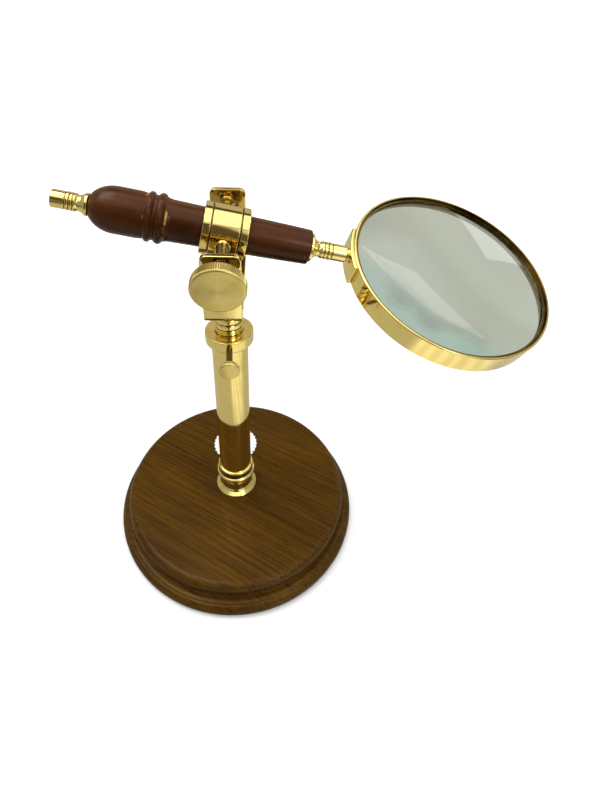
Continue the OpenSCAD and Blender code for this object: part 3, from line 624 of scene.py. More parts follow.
@material_named("pale_paper_floor")
def pale_floor(add, place, finish):
    """Pale paper floor: white in the picture, with a soft shadow under the base.

    What the brass and the glass see of it is a dimmer table top, with daylight on its front right.
    """
    # The daylight lies right of a slanted line and in front of the post, with soft bars across it
    across = add("VectorMath", {0: place, 1: (0.8, -0.6, 0.0)}, operation="DOT_PRODUCT")
    lit = add("MapRange", {0: across, 1: 0.045, 2: 0.085})
    split = add("SeparateXYZ", {0: place})
    depth = split.outputs[1]
    front = add("MapRange", {0: depth, 1: 0.0, 2: -0.05, 3: 0.15, 4: 1.0})
    right = add("MapRange", {0: split.outputs[0], 1: -0.022, 2: 0.012})
    bars = add("TexWave", {"Vector": place, "Scale": 9.0, "Distortion": 2.0, "Detail": 1.0})
    barred = add("MapRange", {0: bars.outputs["Fac"], 1: 0.2, 2: 0.8, 3: 0.75, 4: 1.0})
    share = add("Math", {0: lit, 1: front}, operation="MULTIPLY")
    share = add("Math", {0: share, 1: barred}, operation="MULTIPLY")
    share = add("Math", {0: share, 1: right}, operation="MULTIPLY")
    table = add("Mix", {0: share, 6: rgba(finish.table), 7: rgba(finish.table_lit)})
    far = add("MapRange", {0: depth, 1: -0.22, 2: -0.5, 3: 0.0, 4: 0.8})
    table = add("Mix", {0: far, 6: table, 7: rgba(finish.table_far)})
    paths = add("LightPath").outputs
    seen = paths["Is Camera Ray"]
    # Little of its light reaches the matt undersides
    under = add("Math", {0: paths["Is Diffuse Ray"], 1: 0.85}, operation="MULTIPLY")
    table = add("Mix", {0: under, 6: table, 7: BLACK})
    tone = add("Mix", {0: seen, 6: table, 7: rgba(finish.floor)})
    # Light of its own, stronger away from the base, keeps the background white
    away = add("VectorMath", {0: place}, operation="LENGTH")
    glow = add("MapRange", {0: away, 1: 0.1, 2: 0.3, 3: 0.02, 4: 0.16})
    glow = add("Math", {0: seen, 1: glow}, operation="MULTIPLY")
    return {
        "Emission Color": WHITE, "Roughness": 0.9, "Specular IOR Level": 0.1, "Emission Strength": glow,
        "Base Color": tone}


# Shapes of the pieces

def base_profile(base_d):
    """Lower moulding, a round of radius 4.8, then a stepped groove and the upper disc's half-round edge.

    Two lines are scored in the moulding. Each takes off its depth times exp(-((angle - place) / width)^2).
    """
    r = base_d / 2
    low = np.radians(np.linspace(-48.6, 90, 60))
    scored = ((0.3, 60, 4.5), (0.22, 28, 4))
    line = sum(-depth * np.exp(-((np.degrees(low) - at) / wide) ** 2) for depth, at, wide in scored)
    moulding = np.stack([r - 4.8 + (4.8 + line) * np.cos(low), 3.6 + (4.8 + line) * np.sin(low)], 1)
    step = rounded([(r - 4.8, 8.4, 0), (r - 6.6, 8.4, 0.5), (r - 6.6, 9.8, 0.5), (r - 7.8, 9.8, 0.4),
                    (r - 7.8, 10.9, 0)])
    disc = arc(r - 9.4, 14.6, 4, -66.5, 90, 48)
    foot = rounded([(0, 0.02, 0), (moulding[0, 0] - 0.3, 0.02, 0.2), (moulding[0, 0], 0.2, 0)])
    top = np.array([[r - 9.6, BASE_TOP], [r - 12, BASE_TOP], [r - 30, BASE_TOP], [0, BASE_TOP]])
    return clean(np.concatenate([foot[:-1], moulding[1:], step[1:-1], disc, top]), False)


def grip_profile():
    """Upper envelope of a bullet end, a body, two beads and a tapering shank, with the creases eased."""
    z = np.concatenate([np.linspace(-54, -50, 40)[:-1], np.linspace(-50, -20, 300)[:-1],
                        np.linspace(-20, 35.4, 90)])
    bullet = 9.5 * np.sqrt(np.clip(1 - ((z + 43.5) / 11.6) ** 2, 0, 1))
    body = np.where(z < -43.5, bullet, 9.52 - 0.35 * np.clip((z + 34.5) / 3, 0, 1))
    body = np.where(z > -24.1, 0, body)
    shank = np.where(z > 0, 8.1 - 0.8 * np.clip(z / 35.7, 0, 1) ** 1.5, 8.1 - z * 0.0215)
    shank = shank + 0.45 * np.clip((-21.6 - z) / 2.4, 0, 1) ** 1.5
    shank = np.where(z < -25.5, 0, shank)
    beads = []
    for middle, round_r, core in ((-30.3, 1.5, 8.7), (-26.0, 1.9, 8.4)):
        off = abs(z - middle)
        beads.append(np.where(off < round_r, core + np.sqrt(np.clip(round_r ** 2 - off ** 2, 0, None)), 0))
    # The creases are eased over about 0.3 mm each way on a finer grid, but not the bullet's steep end
    fine = np.linspace(z[0], z[-1], 2400)
    r = np.interp(fine, z, np.maximum.reduce([body, shank, *beads]))
    steep = 120
    r[steep:] = smoothed(r, 7)[steep:]
    r = np.interp(z, fine, r)
    curve = np.stack([r, z], 1)
    rear = np.array([[0, -54.0], [r[0] - 0.15, -54.0]])
    front = rounded([(7.3, 35.4, 0), (7.25, 35.9, 0.45), (4.0, 35.9, 0), (0, 35.9, 0)])
    return clean(np.concatenate([rear, curve, front[1:]]), False)


def ferrule_profile(length, flare):
    """Flared foot of a given radius, a hollow cone, three grooves with beads between them and a plain end."""
    p, cove = 3.6, (flare - 3.6) * 0.45
    # Share of the length, how far it stands out from the plain end, and rounding
    form = [
        (0.19, -0.1, 1.2), (0.27, -0.45, 0.8), (0.34, 0.1, 0.3), (0.38, 0.1, 0.15), (0.388, -0.3, 0.06),
        (0.405, -0.3, 0.06), (0.413, 0.1, 0.3), (0.477, 0.1, 0.3), (0.487, -0.35, 0.06), (0.505, -0.35, 0.06),
        (0.515, 0.15, 0.3), (0.587, 0.15, 0.3), (0.597, -0.35, 0.06), (0.615, -0.35, 0.06), (0.625, 0, 0.1)]
    return rounded([
        (0, 0, 0), (flare - 0.1, 0, 0.1), (flare, length * 0.012, 0.15), (flare, length * 0.07, 0.3),
        (p + cove, length * 0.12, 0.9), *((p + out, length * share, r) for share, out, r in form),
        (p, length - 0.25, 0.25), (p - 0.3, length, 0.2), (0, length, 0)])


def foot_profile():
    """Sloping flange, hollow waist, big bead, groove and thin ring, closed over the tube."""
    flange = rounded([
        (0, 0.0, 0), (11.9, 0.0, 0.15), (11.9, 0.75, 0.35), (9.9, 2.3, 1.6), (9.0, 3.5, 1.6), (8.75, 5.4, 2),
        (8.75, 7.2, 2), (9.3, 9.6, 2.5), (9.75, 11.1, 0.5), (10.05, 11.45, 0)], steps=8)
    groove = rounded([(10.1, 14.35, 0), (9.75, 14.9, 0.2), (9.7, 16.8, 0.2), (9.3, 17.0, 0)])
    top = np.array([[9.02, 19.0], [8.6, 18.9], [8.6, 17.6], [0, 17.6]])
    bead, ring = arc(9.6, 12.9, 1.5, -70, 70, 14), arc(9.1, 18.0, 1.0, -80, 90, 14)
    return clean(np.concatenate([flange[:-1], bead, groove[1:-1], ring, top]), False)


def head_profile():
    """Three thin rings on a spindle, a waist and the ball's cup."""
    rows = [(0, 135.4, 0), (6.6, 135.4, 0.2)]
    for k in range(3):
        z = 135.4 + 3.1 * k
        rows += [(6.6, z, 0.2), (6.9, z + 0.5, 0.5), (6.9, z + 2.1, 0.5), (6.55, z + 2.55, 0.2),
                 (6.15, z + 2.65, 0.1), (6.15, z + 3.0, 0.1)]
    rows += [(5.3, 144.95, 0.2), (5.1, 145.4, 0.3), (6.3, 145.9, 0.4), (7.4, 146.8, 0.3), (7.4, 148.75, 0.1),
             (5.9, 148.8, 0.05), (0, 148.8, 0)]
    kept = [rows[0]] + [row for before, row in zip(rows, rows[1:]) if row[:2] != before[:2]]
    return rounded(kept, hold=0.05)


def triangle_wave(turns):
    """1 at whole turns and 0 half way between."""
    return np.abs(2 * (turns - np.floor(turns)) - 1)


def knurl(ridges, depth, profile, outer):
    """Amounts of a straight knurl: minus depth times a triangle wave, on the rows at the outer radius."""
    side = np.clip((profile[:, 0] - (outer - 0.25)) / 0.2, 0, 1)
    return lambda angle, row: -depth * side[row] * (1 - triangle_wave(angle * ridges / (2 * np.pi)))


def thread(radius, depth, pitch, low, high):
    """Single thread: the radius falls by a triangle wave of z/pitch - angle/turn, faded out at both ends."""
    z = np.linspace(low, high, int((high - low) / pitch * 8))
    fade = np.clip(np.minimum(z - low, high - z) / pitch, 0, 1)
    profile = np.stack([np.full(len(z), radius), z], 1)

    def cut(angle, row):
        wave = np.clip(1.25 * triangle_wave(z[row] / pitch - angle / (2 * np.pi)) - 0.12, 0, 1)
        return -depth * (1 - fade[row] + fade[row] * wave)

    whole = np.concatenate([[[0, low]], profile, [[0, high]]])
    return whole, lambda angle, row: np.where(
        (row == 0) | (row == len(whole) - 1), 0, cut(angle, np.clip(row - 1, 0, len(z) - 1)))


# Stage

def stand(name, data, at, away, right):
    """Puts a lamp or camera at a place, its Z pointing away from what it looks at and its X to the right."""
    basis = np.eye(4)
    basis[:3] = np.stack([right, np.cross(away, right), away, at], 1)
    item = bpy.data.objects.new(name, data)
    item.matrix_world = Matrix(basis)
    bpy.context.scene.collection.objects.link(item)
    return item


def lay_floor(finish):
    """Flat square floor, 28 m wide, just under the felt."""
    side = np.linspace(-1, 1, 9) * 14.0
    x, y = np.meshgrid(side, side)
    floor = bpy.data.meshes.new("floor")
    points = np.stack([x.ravel(), y.ravel(), np.full(x.size, -0.0001)], 1)
    floor.from_pydata(points.tolist(), [], grid_faces(9, 9, False, False).tolist())
    floor.materials.append(pale_floor(finish))
    floor_object = bpy.data.objects.new("floor", floor)
    bpy.context.scene.collection.objects.link(floor_object)


def surround_with_room():
    """Room that the brass mirrors, by the ray's direction: walls, ceiling, windows and a dark shape."""
    world = bpy.data.worlds.new("studio_dome")
    bpy.context.scene.world = world
    world.use_nodes = True
    world.node_tree.nodes.clear()
    add = partial(add_node, world.node_tree)
    ray = add("TexCoord").outputs["Generated"]
    split = add("SeparateXYZ", {0: ray})
    # Colours here are brightnesses, which may pass 1, so they are plain linear numbers
    # A white ceiling over grey walls, with a shaded strip high on the back wall
    room = add("ValToRGB", {0: split.outputs[2]}, stops=[
        (0.0, (0.36, 0.35, 0.32, 1)), (0.5, (0.42, 0.41, 0.39, 1)), (0.68, (0.55, 0.55, 0.53, 1)),
        (0.77, (1.7, 1.7, 1.7, 1))])
    back = add("ValToRGB", {0: split.outputs[2]}, stops=[
        (0.0, (0.44, 0.42, 0.38, 1)), (0.6, (0.6, 0.55, 0.48, 1)), (0.7, (0.4, 0.36, 0.3, 1)),
        (0.75, (0.07, 0.06, 0.04, 1)), (0.86, (0.08, 0.07, 0.05, 1)), (0.9, (1.7, 1.7, 1.7, 1))])
    rear = add("VectorMath", {0: ray, 1: (-0.3, 0.95, 0.0)}, operation="DOT_PRODUCT")
    behind = add("MapRange", {0: rear, 1: 0.3, 2: 0.4})
    walls = add("Mix", {0: behind, 6: room, 7: back})
    # Daylight to the right of the viewer, and the viewer's own dark shape
    day = add("VectorMath", {0: ray, 1: (0.435, -0.818, 0.375)}, operation="DOT_PRODUCT")
    bright = add("MapRange", {0: day, 1: 0.925, 2: 0.95})
    lit = add("Mix", {0: bright, 6: walls, 7: (1.0, 0.98, 0.94, 1)})
    wide = add("Math", {0: split.outputs[0]}, operation="ABSOLUTE")
    dark = add("MapRange", {0: wide, 1: 0.25, 2: 0.21})
    for socket, start, end in ((1, -0.3, -0.5), (2, 0.67, 0.63)):
        part = add("MapRange", {0: split.outputs[socket], 1: start, 2: end})
        dark = add("Math", {0: dark, 1: part}, operation="MULTIPLY")
    shaded = add("Mix", {0: dark, 6: lit, 7: (0.11, 0.085, 0.06, 1)})
    # A window behind on the right, which the glass mirrors as a pale pane
    pane = add("VectorMath", {0: ray, 1: (0.677, 0.5485, 0.491)}, operation="DOT_PRODUCT")
    pane = add("MapRange", {0: pane, 1: 0.8, 2: 0.85})
    for side, edge in (((0.55, -0.8, 0.24), 0.14), ((-0.45, -0.1, 0.885), 0.12)):
        off = add("VectorMath", {0: ray, 1: side}, operation="DOT_PRODUCT")
        off = add("Math", {0: off}, operation="ABSOLUTE")
        part = add("MapRange", {0: off, 1: edge, 2: edge - 0.008})
        pane = add("Math", {0: pane, 1: part}, operation="MULTIPLY")
    shaded = add("Mix", {0: pane, 6: shaded, 7: (2.2, 2.3, 2.2, 1)})
    seen = add("LightPath").outputs["Is Camera Ray"]
    backdrop = add("Background", {"Color": WHITE, "Strength": 1.0})
    light = add("Background", {"Color": shaded, "Strength": 1.0})
    add("OutputWorld", {"Surface": add("MixShader", {0: seen, 1: light, 2: backdrop})})


# Operators

class MAGNIFIER_OT_wooden_base(bpy.types.Operator):
    """Turned base with its moulding, and the blank paper seal."""

    bl_idname = "magnifier.wooden_base"
    bl_label = "Wooden base and seal"

    def execute(self, context):
        sizes, finish = context.scene.magnifier_sizes, context.scene.magnifier_finish
        make_piece("turned_base", [lathe(base_profile(sizes.base_diameter / MM), UPRIGHT, 256)],
                   [stained_base_wood(finish)], "base", ["wood_base"])
        # Paper disc: the radius is 13.2 + 0.8 |cos 15 a|, and the face has an embossed ring and a slight curl
        angle = np.arange(480) * 2 * np.pi / 480
        radius = 13.2 + 0.8 * np.abs(np.cos(15 * angle))
        share = np.array([0, 1.0, 1.0, 0.985, 0.93, 0.88, 0.84, 0.8, 0.6, 0.3, 0.0])
        height = np.array([0.02, 0.02, 0.2, 0.26, 0.27, 0.2, 0.3, 0.24, 0.24, 0.24, 0.24])
        r = share[:, None] * radius
        curl = 0.04 * share * (height > 0.1)
        z = BASE_TOP + height[:, None] + curl[:, None] * np.sin(2 * angle + 1)
        points = np.stack([r * np.cos(angle) - 1.8, r * np.sin(angle) + 28.6, z], -1)
        make_piece("paper_disc", [surface(points)], [plain_paper(finish)], "base", ["paper_seal"])
        return {"FINISHED"}


class MAGNIFIER_OT_post(bpy.types.Operator):
    """Foot, tube and collar of the post."""

    bl_idname = "magnifier.post"
    bl_label = "Post"

    def execute(self, context):
        sizes, finish = context.scene.magnifier_sizes, context.scene.magnifier_finish
        brass = polished_brass(finish)
        turned = polished_brass(finish, "turned_lacquered_brass", rough=0.13)
        foot = foot_profile()
        # Painted shade: the groove under the thin ring, the crease above the bead and the foot's bottom edge
        # on the base take the darker dull brass
        groove = rows_where(foot, lambda r, z: (z > 14.4) & (z < 16.95) | (z < 0.12) | (abs(z - 11.3) < 0.25))
        make_piece("turned_foot", [lathe(foot, shift(0, 0, BASE_TOP), material=groove)],
                   [brass, dull_brass_and_painted_shade(finish)], "base", ["foot_flange"])
        r = sizes.tube_diameter / MM / 2
        wall = [(r, 28.85, 0.05), (r, 133.9, 0.05), (7.12, 133.9, 0.05), (7.12, 28.85, 0.05)]
        make_piece("drawn_tube", [lathe(rounded(wall, closed=True, hold=2), UPRIGHT, 256, closed=True)],
                   [polished_brass(finish, "drawn_polished_brass", rough=0.04, wave=0.012)], "base",
                   ["post_tube"])
        r = sizes.collar_diameter / MM / 2
        collar = [(9.06, 128.4, 0.1), (r - 0.9, 128.4, 0.4), (r, 129.5, 0.6), (r, 134.7, 0.3),
                  (r - 0.3, 135, 0.25), (7.12, 135, 0.1), (7.12, 133.95, 0.05), (9.06, 133.95, 0.05)]
        make_piece("turned_collar", [lathe(rounded(collar, closed=True, hold=0.1), UPRIGHT, closed=True)],
                   [turned], "base", ["tube_collar"])
        return {"FINISHED"}


class MAGNIFIER_OT_lock_screw(bpy.types.Operator):
    """Small knurled screw in the collar."""

    bl_idname = "magnifier.lock_screw"
    bl_label = "Lock screw"

    def execute(self, context):
        finish = context.scene.magnifier_finish
        stem = rounded([(0, 7.35, 0), (1.3, 7.35, 0.1), (1.5, 7.6, 0.1), (1.5, 22.6, 0.1), (1.15, 23.2, 0.3),
                        (1.15, 26.6, 0.1), (0, 26.6, 0)])
        # Painted shade: the whole stem under the head is coloured as the darker dull brass
        make_piece("lock_stem_turned", [lathe(stem, LOCK, 64)], [dull_brass_and_painted_shade(finish)], "lock_screw",
                   ["lock_screw_stem"])
        head = rounded([(0, 25.2, 0), (1.4, 25.2, 0), (4.4, 25.2, 0.1), (4.85, 25.5, 0.2), (4.75, 26.9, 0.3),
                        (4.2, 27.5, 0.5), (2, 27.62, 0), (0, 27.64, 0)])
        satin = rows_where(head, lambda r, z: z > 27.1)
        body = lathe(head, LOCK, 320, radial=knurl(32, 0.2, head, 4.85), material=satin)
        make_piece("lock_head_knurled", [body],
                   [polished_brass(finish, "knurled_brass", rough=0.12), spun_brass(finish)], "lock_screw",
                   ["lock_screw_head"])
        return {"FINISHED"}


class MAGNIFIER_OT_swivel_head(bpy.types.Operator):
    """Turned head on the rod and the cap of its ball joint."""

    bl_idname = "magnifier.swivel_head"
    bl_label = "Swivel head"

    def execute(self, context):
        finish = context.scene.magnifier_finish
        form = head_profile()
        # Painted shadow: the gaps between the rings and the head's bottom edge on the collar take the darker
        # dull brass
        groove = rows_where(form, lambda r, z: (r < 6.5) & (z < 144.8) | (z < 135.65))
        make_piece("turned_head", [lathe(form, UPRIGHT, material=groove)],
                   [polished_brass(finish), dull_brass_and_painted_shade(finish)], "head", ["swivel_head"])
        cap = rounded([(6.05, 148.9, 0.05), (7.1, 148.9, 0.1), (7.4, 149.2, 0.1), (7.4, 153.4, 0.2),
                       (5.6, 155.1, 0.3), (4.1, 155.1, 0.1), (4.1, 154.1, 0.1), (6.05, 152.3, 0.1)],
                       closed=True)
        make_piece("cap_knurled", [lathe(cap, UPRIGHT, 320, closed=True, radial=knurl(40, 0.3, cap, 7.4))],
                   [spun_brass(finish)], "head", ["socket_cap"])
        return {"FINISHED"}


class MAGNIFIER_OT_fork(bpy.types.Operator):
    """Bent strip that holds the clamp ring."""

    bl_idname = "magnifier.fork"
    bl_label = "Fork"

    def execute(self, context):
        sizes, finish = context.scene.magnifier_sizes, context.scene.magnifier_finish
        # Height of the ears, how far out their middle is, radius of the bends and of the ears' corners, half
        # of the strip's thickness and the rounding of its edges
        top, reach, bend, corner, half_strip, edge = 36.9, 23.2, 3.9, 3, 1.1, 0.38
        # Mid line: down the front ear, round a bend, across and up the rear ear
        tip = np.concatenate([top - corner * (1 - np.cos(np.linspace(0, np.pi / 2, 14))),
                              np.linspace(top - corner - 0.5, half_strip + bend + 0.1, 12)])
        turn_by = np.linspace(0, np.pi / 2, 20)
        y = np.concatenate([np.full(len(tip), -reach), bend - reach - bend * np.cos(turn_by),
                            np.linspace(bend + 0.1 - reach, 0, 8)])
        z = np.concatenate([tip, half_strip + bend - bend * np.sin(turn_by), np.full(8, half_strip)])
        ny = np.concatenate([np.full(len(tip), -1.0), -np.cos(turn_by), np.zeros(8)])
        nz = np.concatenate([np.zeros(len(tip)), -np.sin(turn_by), np.full(8, -1.0)])
        y, z = np.concatenate([y, -y[-2::-1]]), np.concatenate([z, z[-2::-1]])
        ny, nz = np.concatenate([ny, -ny[-2::-1]]), np.concatenate([nz, nz[-2::-1]])
        zero = np.zeros(len(y))
        half_width = sizes.strip_width / MM / 2 + corner_inset(top - z, corner)
        half_thick = half_strip + corner_inset(top - z, edge)
        strip = bent_strip(np.stack([zero, y, z + 8.0], 1), np.stack([zero, ny, nz], 1),
                           np.array([1.0, 0.0, 0.0]), half_width, half_thick, edge)
        # The face between section points 14 and 15 is the inside of the bend, out of a buffing wheel's reach;
        # its darker tarnished brass is also painted shade there
        inside = (np.arange(20) == 14).astype(int)[None, :]
        make_piece("bent_fork", [surface(moved(strip, BALL)[::-1], material=inside)],
                   [polished_brass(finish), tarnished_brass_and_shade(finish)], "fork_body", ["fork"])
        return {"FINISHED"}


class MAGNIFIER_OT_pivot(bpy.types.Operator):
    """Rear pivot screw with its slotted head, and the domed nut inside the ear."""

    bl_idname = "magnifier.pivot"
    bl_label = "Rear pivot"

    def execute(self, context):
        finish = context.scene.magnifier_finish
        nut = rounded([(0, -22.05, 0), (3.55, -22.05, 0.1), (3.7, -21.75, 0.1), (3.7, -20.6, 0.4),
                       (3.2, -19.95, 0.6), (2.1, -19.55, 0.3), (0, -19.5, 0)])
        make_piece("domed_nut", [lathe(nut, SCREW, 96)], [tarnished_brass_and_shade(finish)], "fork_body",
                   ["pivot_nut"])
        dress_node("pivot_screw", polished_brass(finish))
        return {"FINISHED"}


class MAGNIFIER_OT_clamp_ring(bpy.types.Operator):
    """Sleeve round the handle with its grooves and the screw's boss."""

    bl_idname = "magnifier.clamp_ring"
    bl_label = "Clamp ring"

    def execute(self, context):
        sizes, finish = context.scene.magnifier_sizes, context.scene.magnifier_finish
        r = sizes.ring_diameter / MM / 2
        rows = [(8.9, -9.2, 0.2), (r - 0.12, -9.2, 0.25), (r, -8.95, 0.2)]
        for z in (-5.9, 5.9):
            rows += [(r, z - 0.36, 0.12), (r - 0.7, z - 0.26, 0.08), (r - 0.7, z + 0.26, 0.08),
                     (r, z + 0.36, 0.12)]
        rows += [(r, 8.95, 0.2), (r - 0.12, 9.2, 0.25), (8.9, 9.2, 0.2)]
        form = rounded(rows, closed=True, hold=0.1)
        # Painted shade: the two grooves take the darker dull brass
        groove = rows_where(form, lambda r_, z: (r_ < r - 0.3) & (r_ > r - 0.9) & (abs(z) < 8.8), closed=True)
        sleeve = lathe(form, HANDLE, 224, closed=True, material=groove)
        boss = rounded([(2.56, 9.8, 0), (3.2, 9.8, 0), (3.1, 10.9, 0.2), (3.0, r + 0.6, 0.25),
                        (2.7, r + 0.6, 0.1), (2.56, r + 0.4, 0.05)], closed=True)
        make_piece("grooved_ring", [sleeve, lathe(boss, SCREW, 96, closed=True)],
                   [polished_brass(finish), dull_brass_and_painted_shade(finish)], "ring", ["clamp_ring"])
        return {"FINISHED"}


class MAGNIFIER_OT_clamp_screw(bpy.types.Operator):
    """Threaded stem with its knurled knob."""

    bl_idname = "magnifier.clamp_screw"
    bl_label = "Clamp screw and knob"

    def execute(self, context):
        sizes, finish = context.scene.magnifier_sizes, context.scene.magnifier_finish
        radius, depth, pitch, low, high = 2.5, 0.5, 0.8, 10.4, 26.0
        profile, cut = thread(radius, depth, pitch, low, high)
        tip = rounded([(0, 8.45, 0), (1.9, 8.45, 0.3), (2.2, 8.9, 0.3), (2.2, 10.6, 0), (0, 10.6, 0)])
        tail = rounded([(0, 25.8, 0), (2.45, 25.8, 0), (2.45, 35.5, 0), (0, 35.5, 0)])
        make_piece("threaded_stem", [lathe(profile, SCREW, 64, radial=cut), lathe(tip, SCREW, 64, material=1),
                                     lathe(tail, SCREW, 64, material=1)],
                   [threaded_brass(finish, pitch=pitch, start=low - radius, length=2 * radius + high - low),
                    dull_brass_and_painted_shade(finish)], "clamp_stem", ["clamp_screw_stem"])
        r = sizes.knob_diameter / MM / 2
        face = [(0, 25.1, 0), (3.5, 25.1, 0.1), (3.7, 25.35, 0.1), (3.7, 32.3, 0.2), (8.9, 32.3, 0.1),
                (r - 0.5, 32.32, 0.15), (r, 32.75, 0.15), (r, 36.45, 0.2), (r - 0.85, 37.1, 0.7),
                (7, 37.12, 0), (4, 37.14, 0), (0, 37.16, 0)]
        knob = rounded(face, hold=0.12)
        ridges = sizes.knob_ridges
        # Painted shade: the back of the knob, facing the ear, takes the darker dull brass; the face takes the
        # spun brass
        satin = rows_where(knob, lambda r, z: z > 36.4) + 2 * rows_where(knob, lambda r, z: z < 32.5)
        body = lathe(knob, SCREW, ridges * 8, radial=knurl(ridges, 0.3, knob, r), material=satin)
        make_piece("knob_knurled", [body],
                   [polished_brass(finish, "knurled_brass", rough=0.12), spun_brass(finish),
                    dull_brass_and_painted_shade(finish)], "knob", ["clamp_knob"])
        return {"FINISHED"}


class MAGNIFIER_OT_handle(bpy.types.Operator):
    """Turned wooden handle and its two brass ferrules."""

    bl_idname = "magnifier.handle"
    bl_label = "Handle"

    def execute(self, context):
        finish = context.scene.magnifier_finish
        make_piece("turned_grip", [lathe(grip_profile(), HANDLE, 128)], [lacquered_handle_wood(finish)],
                   "grip", ["handle_grip"])
        brass = polished_brass(finish)
        front = HANDLE @ shift(0, 0, 35.95)
        rear = HANDLE @ shift(0, 0, -54.15) @ turn("X", 180)
        for name, node, length, flare, place in (("ferrule_front", "front_ferrule", 16.2, 6.0, front),
                                                 ("ferrule_rear", "rear_ferrule", 14.1, 4.6, rear)):
            form = ferrule_profile(length, flare)
            # Painted shade: the ferrules' grooves take the darker tarnished brass
            groove = rows_where(form, lambda r, z: (r < 3.5) & (z > 0.36 * length) & (z < 0.65 * length))
            make_piece(name, [lathe(form, place, 128, material=groove)], [brass, tarnished_brass_and_shade(finish)],
                       "lens_head", [node])
        return {"FINISHED"}


class MAGNIFIER_OT_lens_head(bpy.types.Operator):
    """Rim with its ledge, the cradle that carries it, and the glass."""

    bl_idname = "magnifier.lens_head"
    bl_label = "Lens head"

    def execute(self, context):
        sizes, finish = context.scene.magnifier_sizes, context.scene.magnifier_finish
        brass = polished_brass(finish)
        r, h = sizes.rim_diameter / MM / 2, sizes.rim_height / MM
        low = -1.1 - h / 2
        rim = [(r - 1, low, 0.1), (r - 0.28, low, 0.2), (r, low + 0.28, 0.25), (r, low + h - 0.28, 0.25),
               (r - 0.28, low + h, 0.2), (r - 1, low + h, 0.15), (r - 1, low + 4.9, 0.1),
               (r - 2.1, low + 4.9, 0.15), (r - 2.1, low + 4.0, 0.15), (r - 1, low + 4.0, 0.1)]
        wall = rounded(rim, closed=True, hold=0.2)
        # The inside of the rim takes the darker dull brass
        inside = rows_where(wall, lambda r_, z: r_ < r - 0.85, closed=True)
        make_piece("plain_rim", [lathe(wall, LENS, 320, closed=True, material=inside)],
                   [polished_brass(finish, "rolled_polished_brass", rough=0.05, wave=0.05),
                    dull_brass_and_painted_shade(finish)], "lens_head", ["lens_rim"])
        # Cradle: as wide as the rim is high, bent to the rim, its middle 1.2 mm behind the axis
        half_length, half_thick, edge = 11.7, 0.85, 0.35
        half = np.arcsin(half_length / (r + 0.9))
        ease = half * np.sin(np.linspace(-np.pi / 2, np.pi / 2, 41))
        angle = np.pi - 1.2 / (r + 0.9) + ease
        normals = np.stack([np.cos(angle), np.sin(angle), np.zeros(41)], 1)
        path = normals * (r + 0.05 + half_thick) + np.array([0, 0, low + h / 2])
        shrink = corner_inset((half - np.abs(ease)) * r, edge)
        plate = bent_strip(path, normals, np.array([0, 0, 1.0]), h / 2 + shrink, half_thick + shrink, 0.3)
        neck = rounded([(0, 52.15, 0), (3.0, 52.15, 0), (2.7, 52.7, 0.3), (3.2, 53.3, 0.4), (3.7, 53.9, 0),
                        (0, 54.0, 0)])
        make_piece("rim_plate", [surface(moved(plate, LENS)), lathe(neck, HANDLE, 96)], [brass], "lens_head",
                   ["rim_cradle"])
        # Glass: two spherical caps, sagitta 2.4 over a radius of 43.9, and a 3 mm edge
        edge = r - 1.1
        mid = low + 5.03
        rho = np.linspace(0, 1, 36) ** 0.8 * (edge - 0.15)
        sag = 2.4 * (1 - (rho / edge) ** 2)
        lower = np.stack([rho, mid - sag], 1)
        upper = np.stack([rho, mid + 3 + sag], 1)[::-1]
        bevel = np.array([[edge, mid + 0.15], [edge, mid + 1], [edge, mid + 2], [edge, mid + 2.85]])
        make_piece("ground_lens", [lathe(np.concatenate([lower, bevel, upper]), LENS, 256)],
                   [ground_glass(finish)], "lens_head", ["lens"])
        return {"FINISHED"}


class MAGNIFIER_OT_kept_nodes(bpy.types.Operator):
    """Materials of the CAD nodes that stay as they are."""

    bl_idname = "magnifier.kept_nodes"
    bl_label = "Rod, studs, nuts and felt"

    def execute(self, context):
        finish = context.scene.magnifier_finish
        for node in ("sliding_rod", "ball_stud", "fork_nut"):
            dress_node(node, polished_brass(finish))
        dress_node("lens_retaining_ring", dull_brass_and_painted_shade(finish))
        for node in ("base_stud", "base_washer", "base_nut", "swivel_grub_screw", "tie_rod"):
            dress_node(node, zinc_steel(finish))
        dress_node("felt_pad", wool_felt(finish))
        return {"FINISHED"}


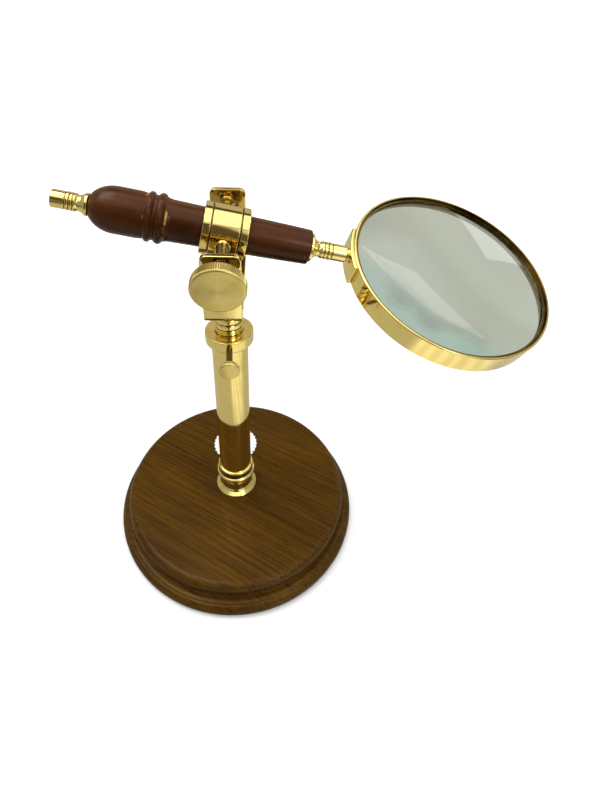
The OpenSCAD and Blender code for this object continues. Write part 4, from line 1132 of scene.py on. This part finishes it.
class MAGNIFIER_OT_stage(bpy.types.Operator):
    """Pale floor, soft lights and the camera at the photograph's angle."""

    bl_idname = "magnifier.stage"
    bl_label = "Stage"

    def execute(self, context):
        lay_floor(context.scene.magnifier_finish)
        surround_with_room()
        aim = np.array([0, 0, 0.1])
        for name, at, size, watts in (
                ("window_right", (0.55, -0.75, 0.75), (0.25, 0.35), 1.8),
                ("softbox_above", (-0.5, 0.15, 1.4), (0.9, 0.9), 8.5)):
            light = bpy.data.lights.new(name, "AREA")
            light.shape = "RECTANGLE"
            light.size, light.size_y = size
            light.energy = watts
            away = at - aim
            away = away / np.linalg.norm(away)
            right = np.cross([0, 0, 1.0], away)
            stand(name, light, at, away, right / np.linalg.norm(right))
        # Camera from the photograph: 34.2 degrees above the table, in front and a little to the right
        azimuth, elevation = np.radians(-0.365), np.radians(34.215)
        away = np.array([
            np.sin(azimuth) * np.cos(elevation), -np.cos(azimuth) * np.cos(elevation), np.sin(elevation)])
        lens = bpy.data.cameras.new("photo_camera")
        lens.sensor_width, lens.sensor_fit, lens.lens = 36.0, "AUTO", 22.5
        lens.shift_x, lens.shift_y = 0.0446, -0.1193
        lens.clip_start = 0.01
        context.scene.camera = stand(
            "photo_camera", lens, np.array([15.793, -193.407, 280.565]) * MM, away,
            np.array([np.cos(azimuth), np.sin(azimuth), 0]))
        context.scene.view_settings.view_transform = "Standard"
        return {"FINISHED"}


class MAGNIFIER_PT_panel(bpy.types.Panel):
    """Lists the magnifier's sizes, finishes and pieces."""

    bl_idname = "MAGNIFIER_PT_panel"
    bl_label = "Stand magnifier"
    bl_space_type = "VIEW_3D"
    bl_region_type = "UI"
    bl_category = "Magnifier"

    def draw(self, context):
        layout = self.layout
        for group in (context.scene.magnifier_sizes, context.scene.magnifier_finish):
            box = layout.box()
            for name in group.__annotations__:
                box.prop(group, name)
        for operator in OPERATORS:
            layout.operator(operator.bl_idname)


OPERATORS = (
    MAGNIFIER_OT_stage, MAGNIFIER_OT_wooden_base, MAGNIFIER_OT_post, MAGNIFIER_OT_lock_screw,
    MAGNIFIER_OT_swivel_head, MAGNIFIER_OT_fork, MAGNIFIER_OT_pivot, MAGNIFIER_OT_clamp_ring,
    MAGNIFIER_OT_clamp_screw, MAGNIFIER_OT_handle, MAGNIFIER_OT_lens_head, MAGNIFIER_OT_kept_nodes)
CLASSES = (MagnifierSizes, MagnifierFinish, *OPERATORS, MAGNIFIER_PT_panel)


def register():
    for cls in CLASSES:
        bpy.utils.register_class(cls)
    bpy.types.Scene.magnifier_sizes = bpy.props.PointerProperty(type=MagnifierSizes)
    bpy.types.Scene.magnifier_finish = bpy.props.PointerProperty(type=MagnifierFinish)


def unregister():
    del bpy.types.Scene.magnifier_finish
    del bpy.types.Scene.magnifier_sizes
    for cls in reversed(CLASSES):
        bpy.utils.unregister_class(cls)


def build():
    """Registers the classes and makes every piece."""
    register()
    for operator in OPERATORS:
        group, name = operator.bl_idname.split(".")
        getattr(getattr(bpy.ops, group), name)()


if __name__ == "__main__":
    build()
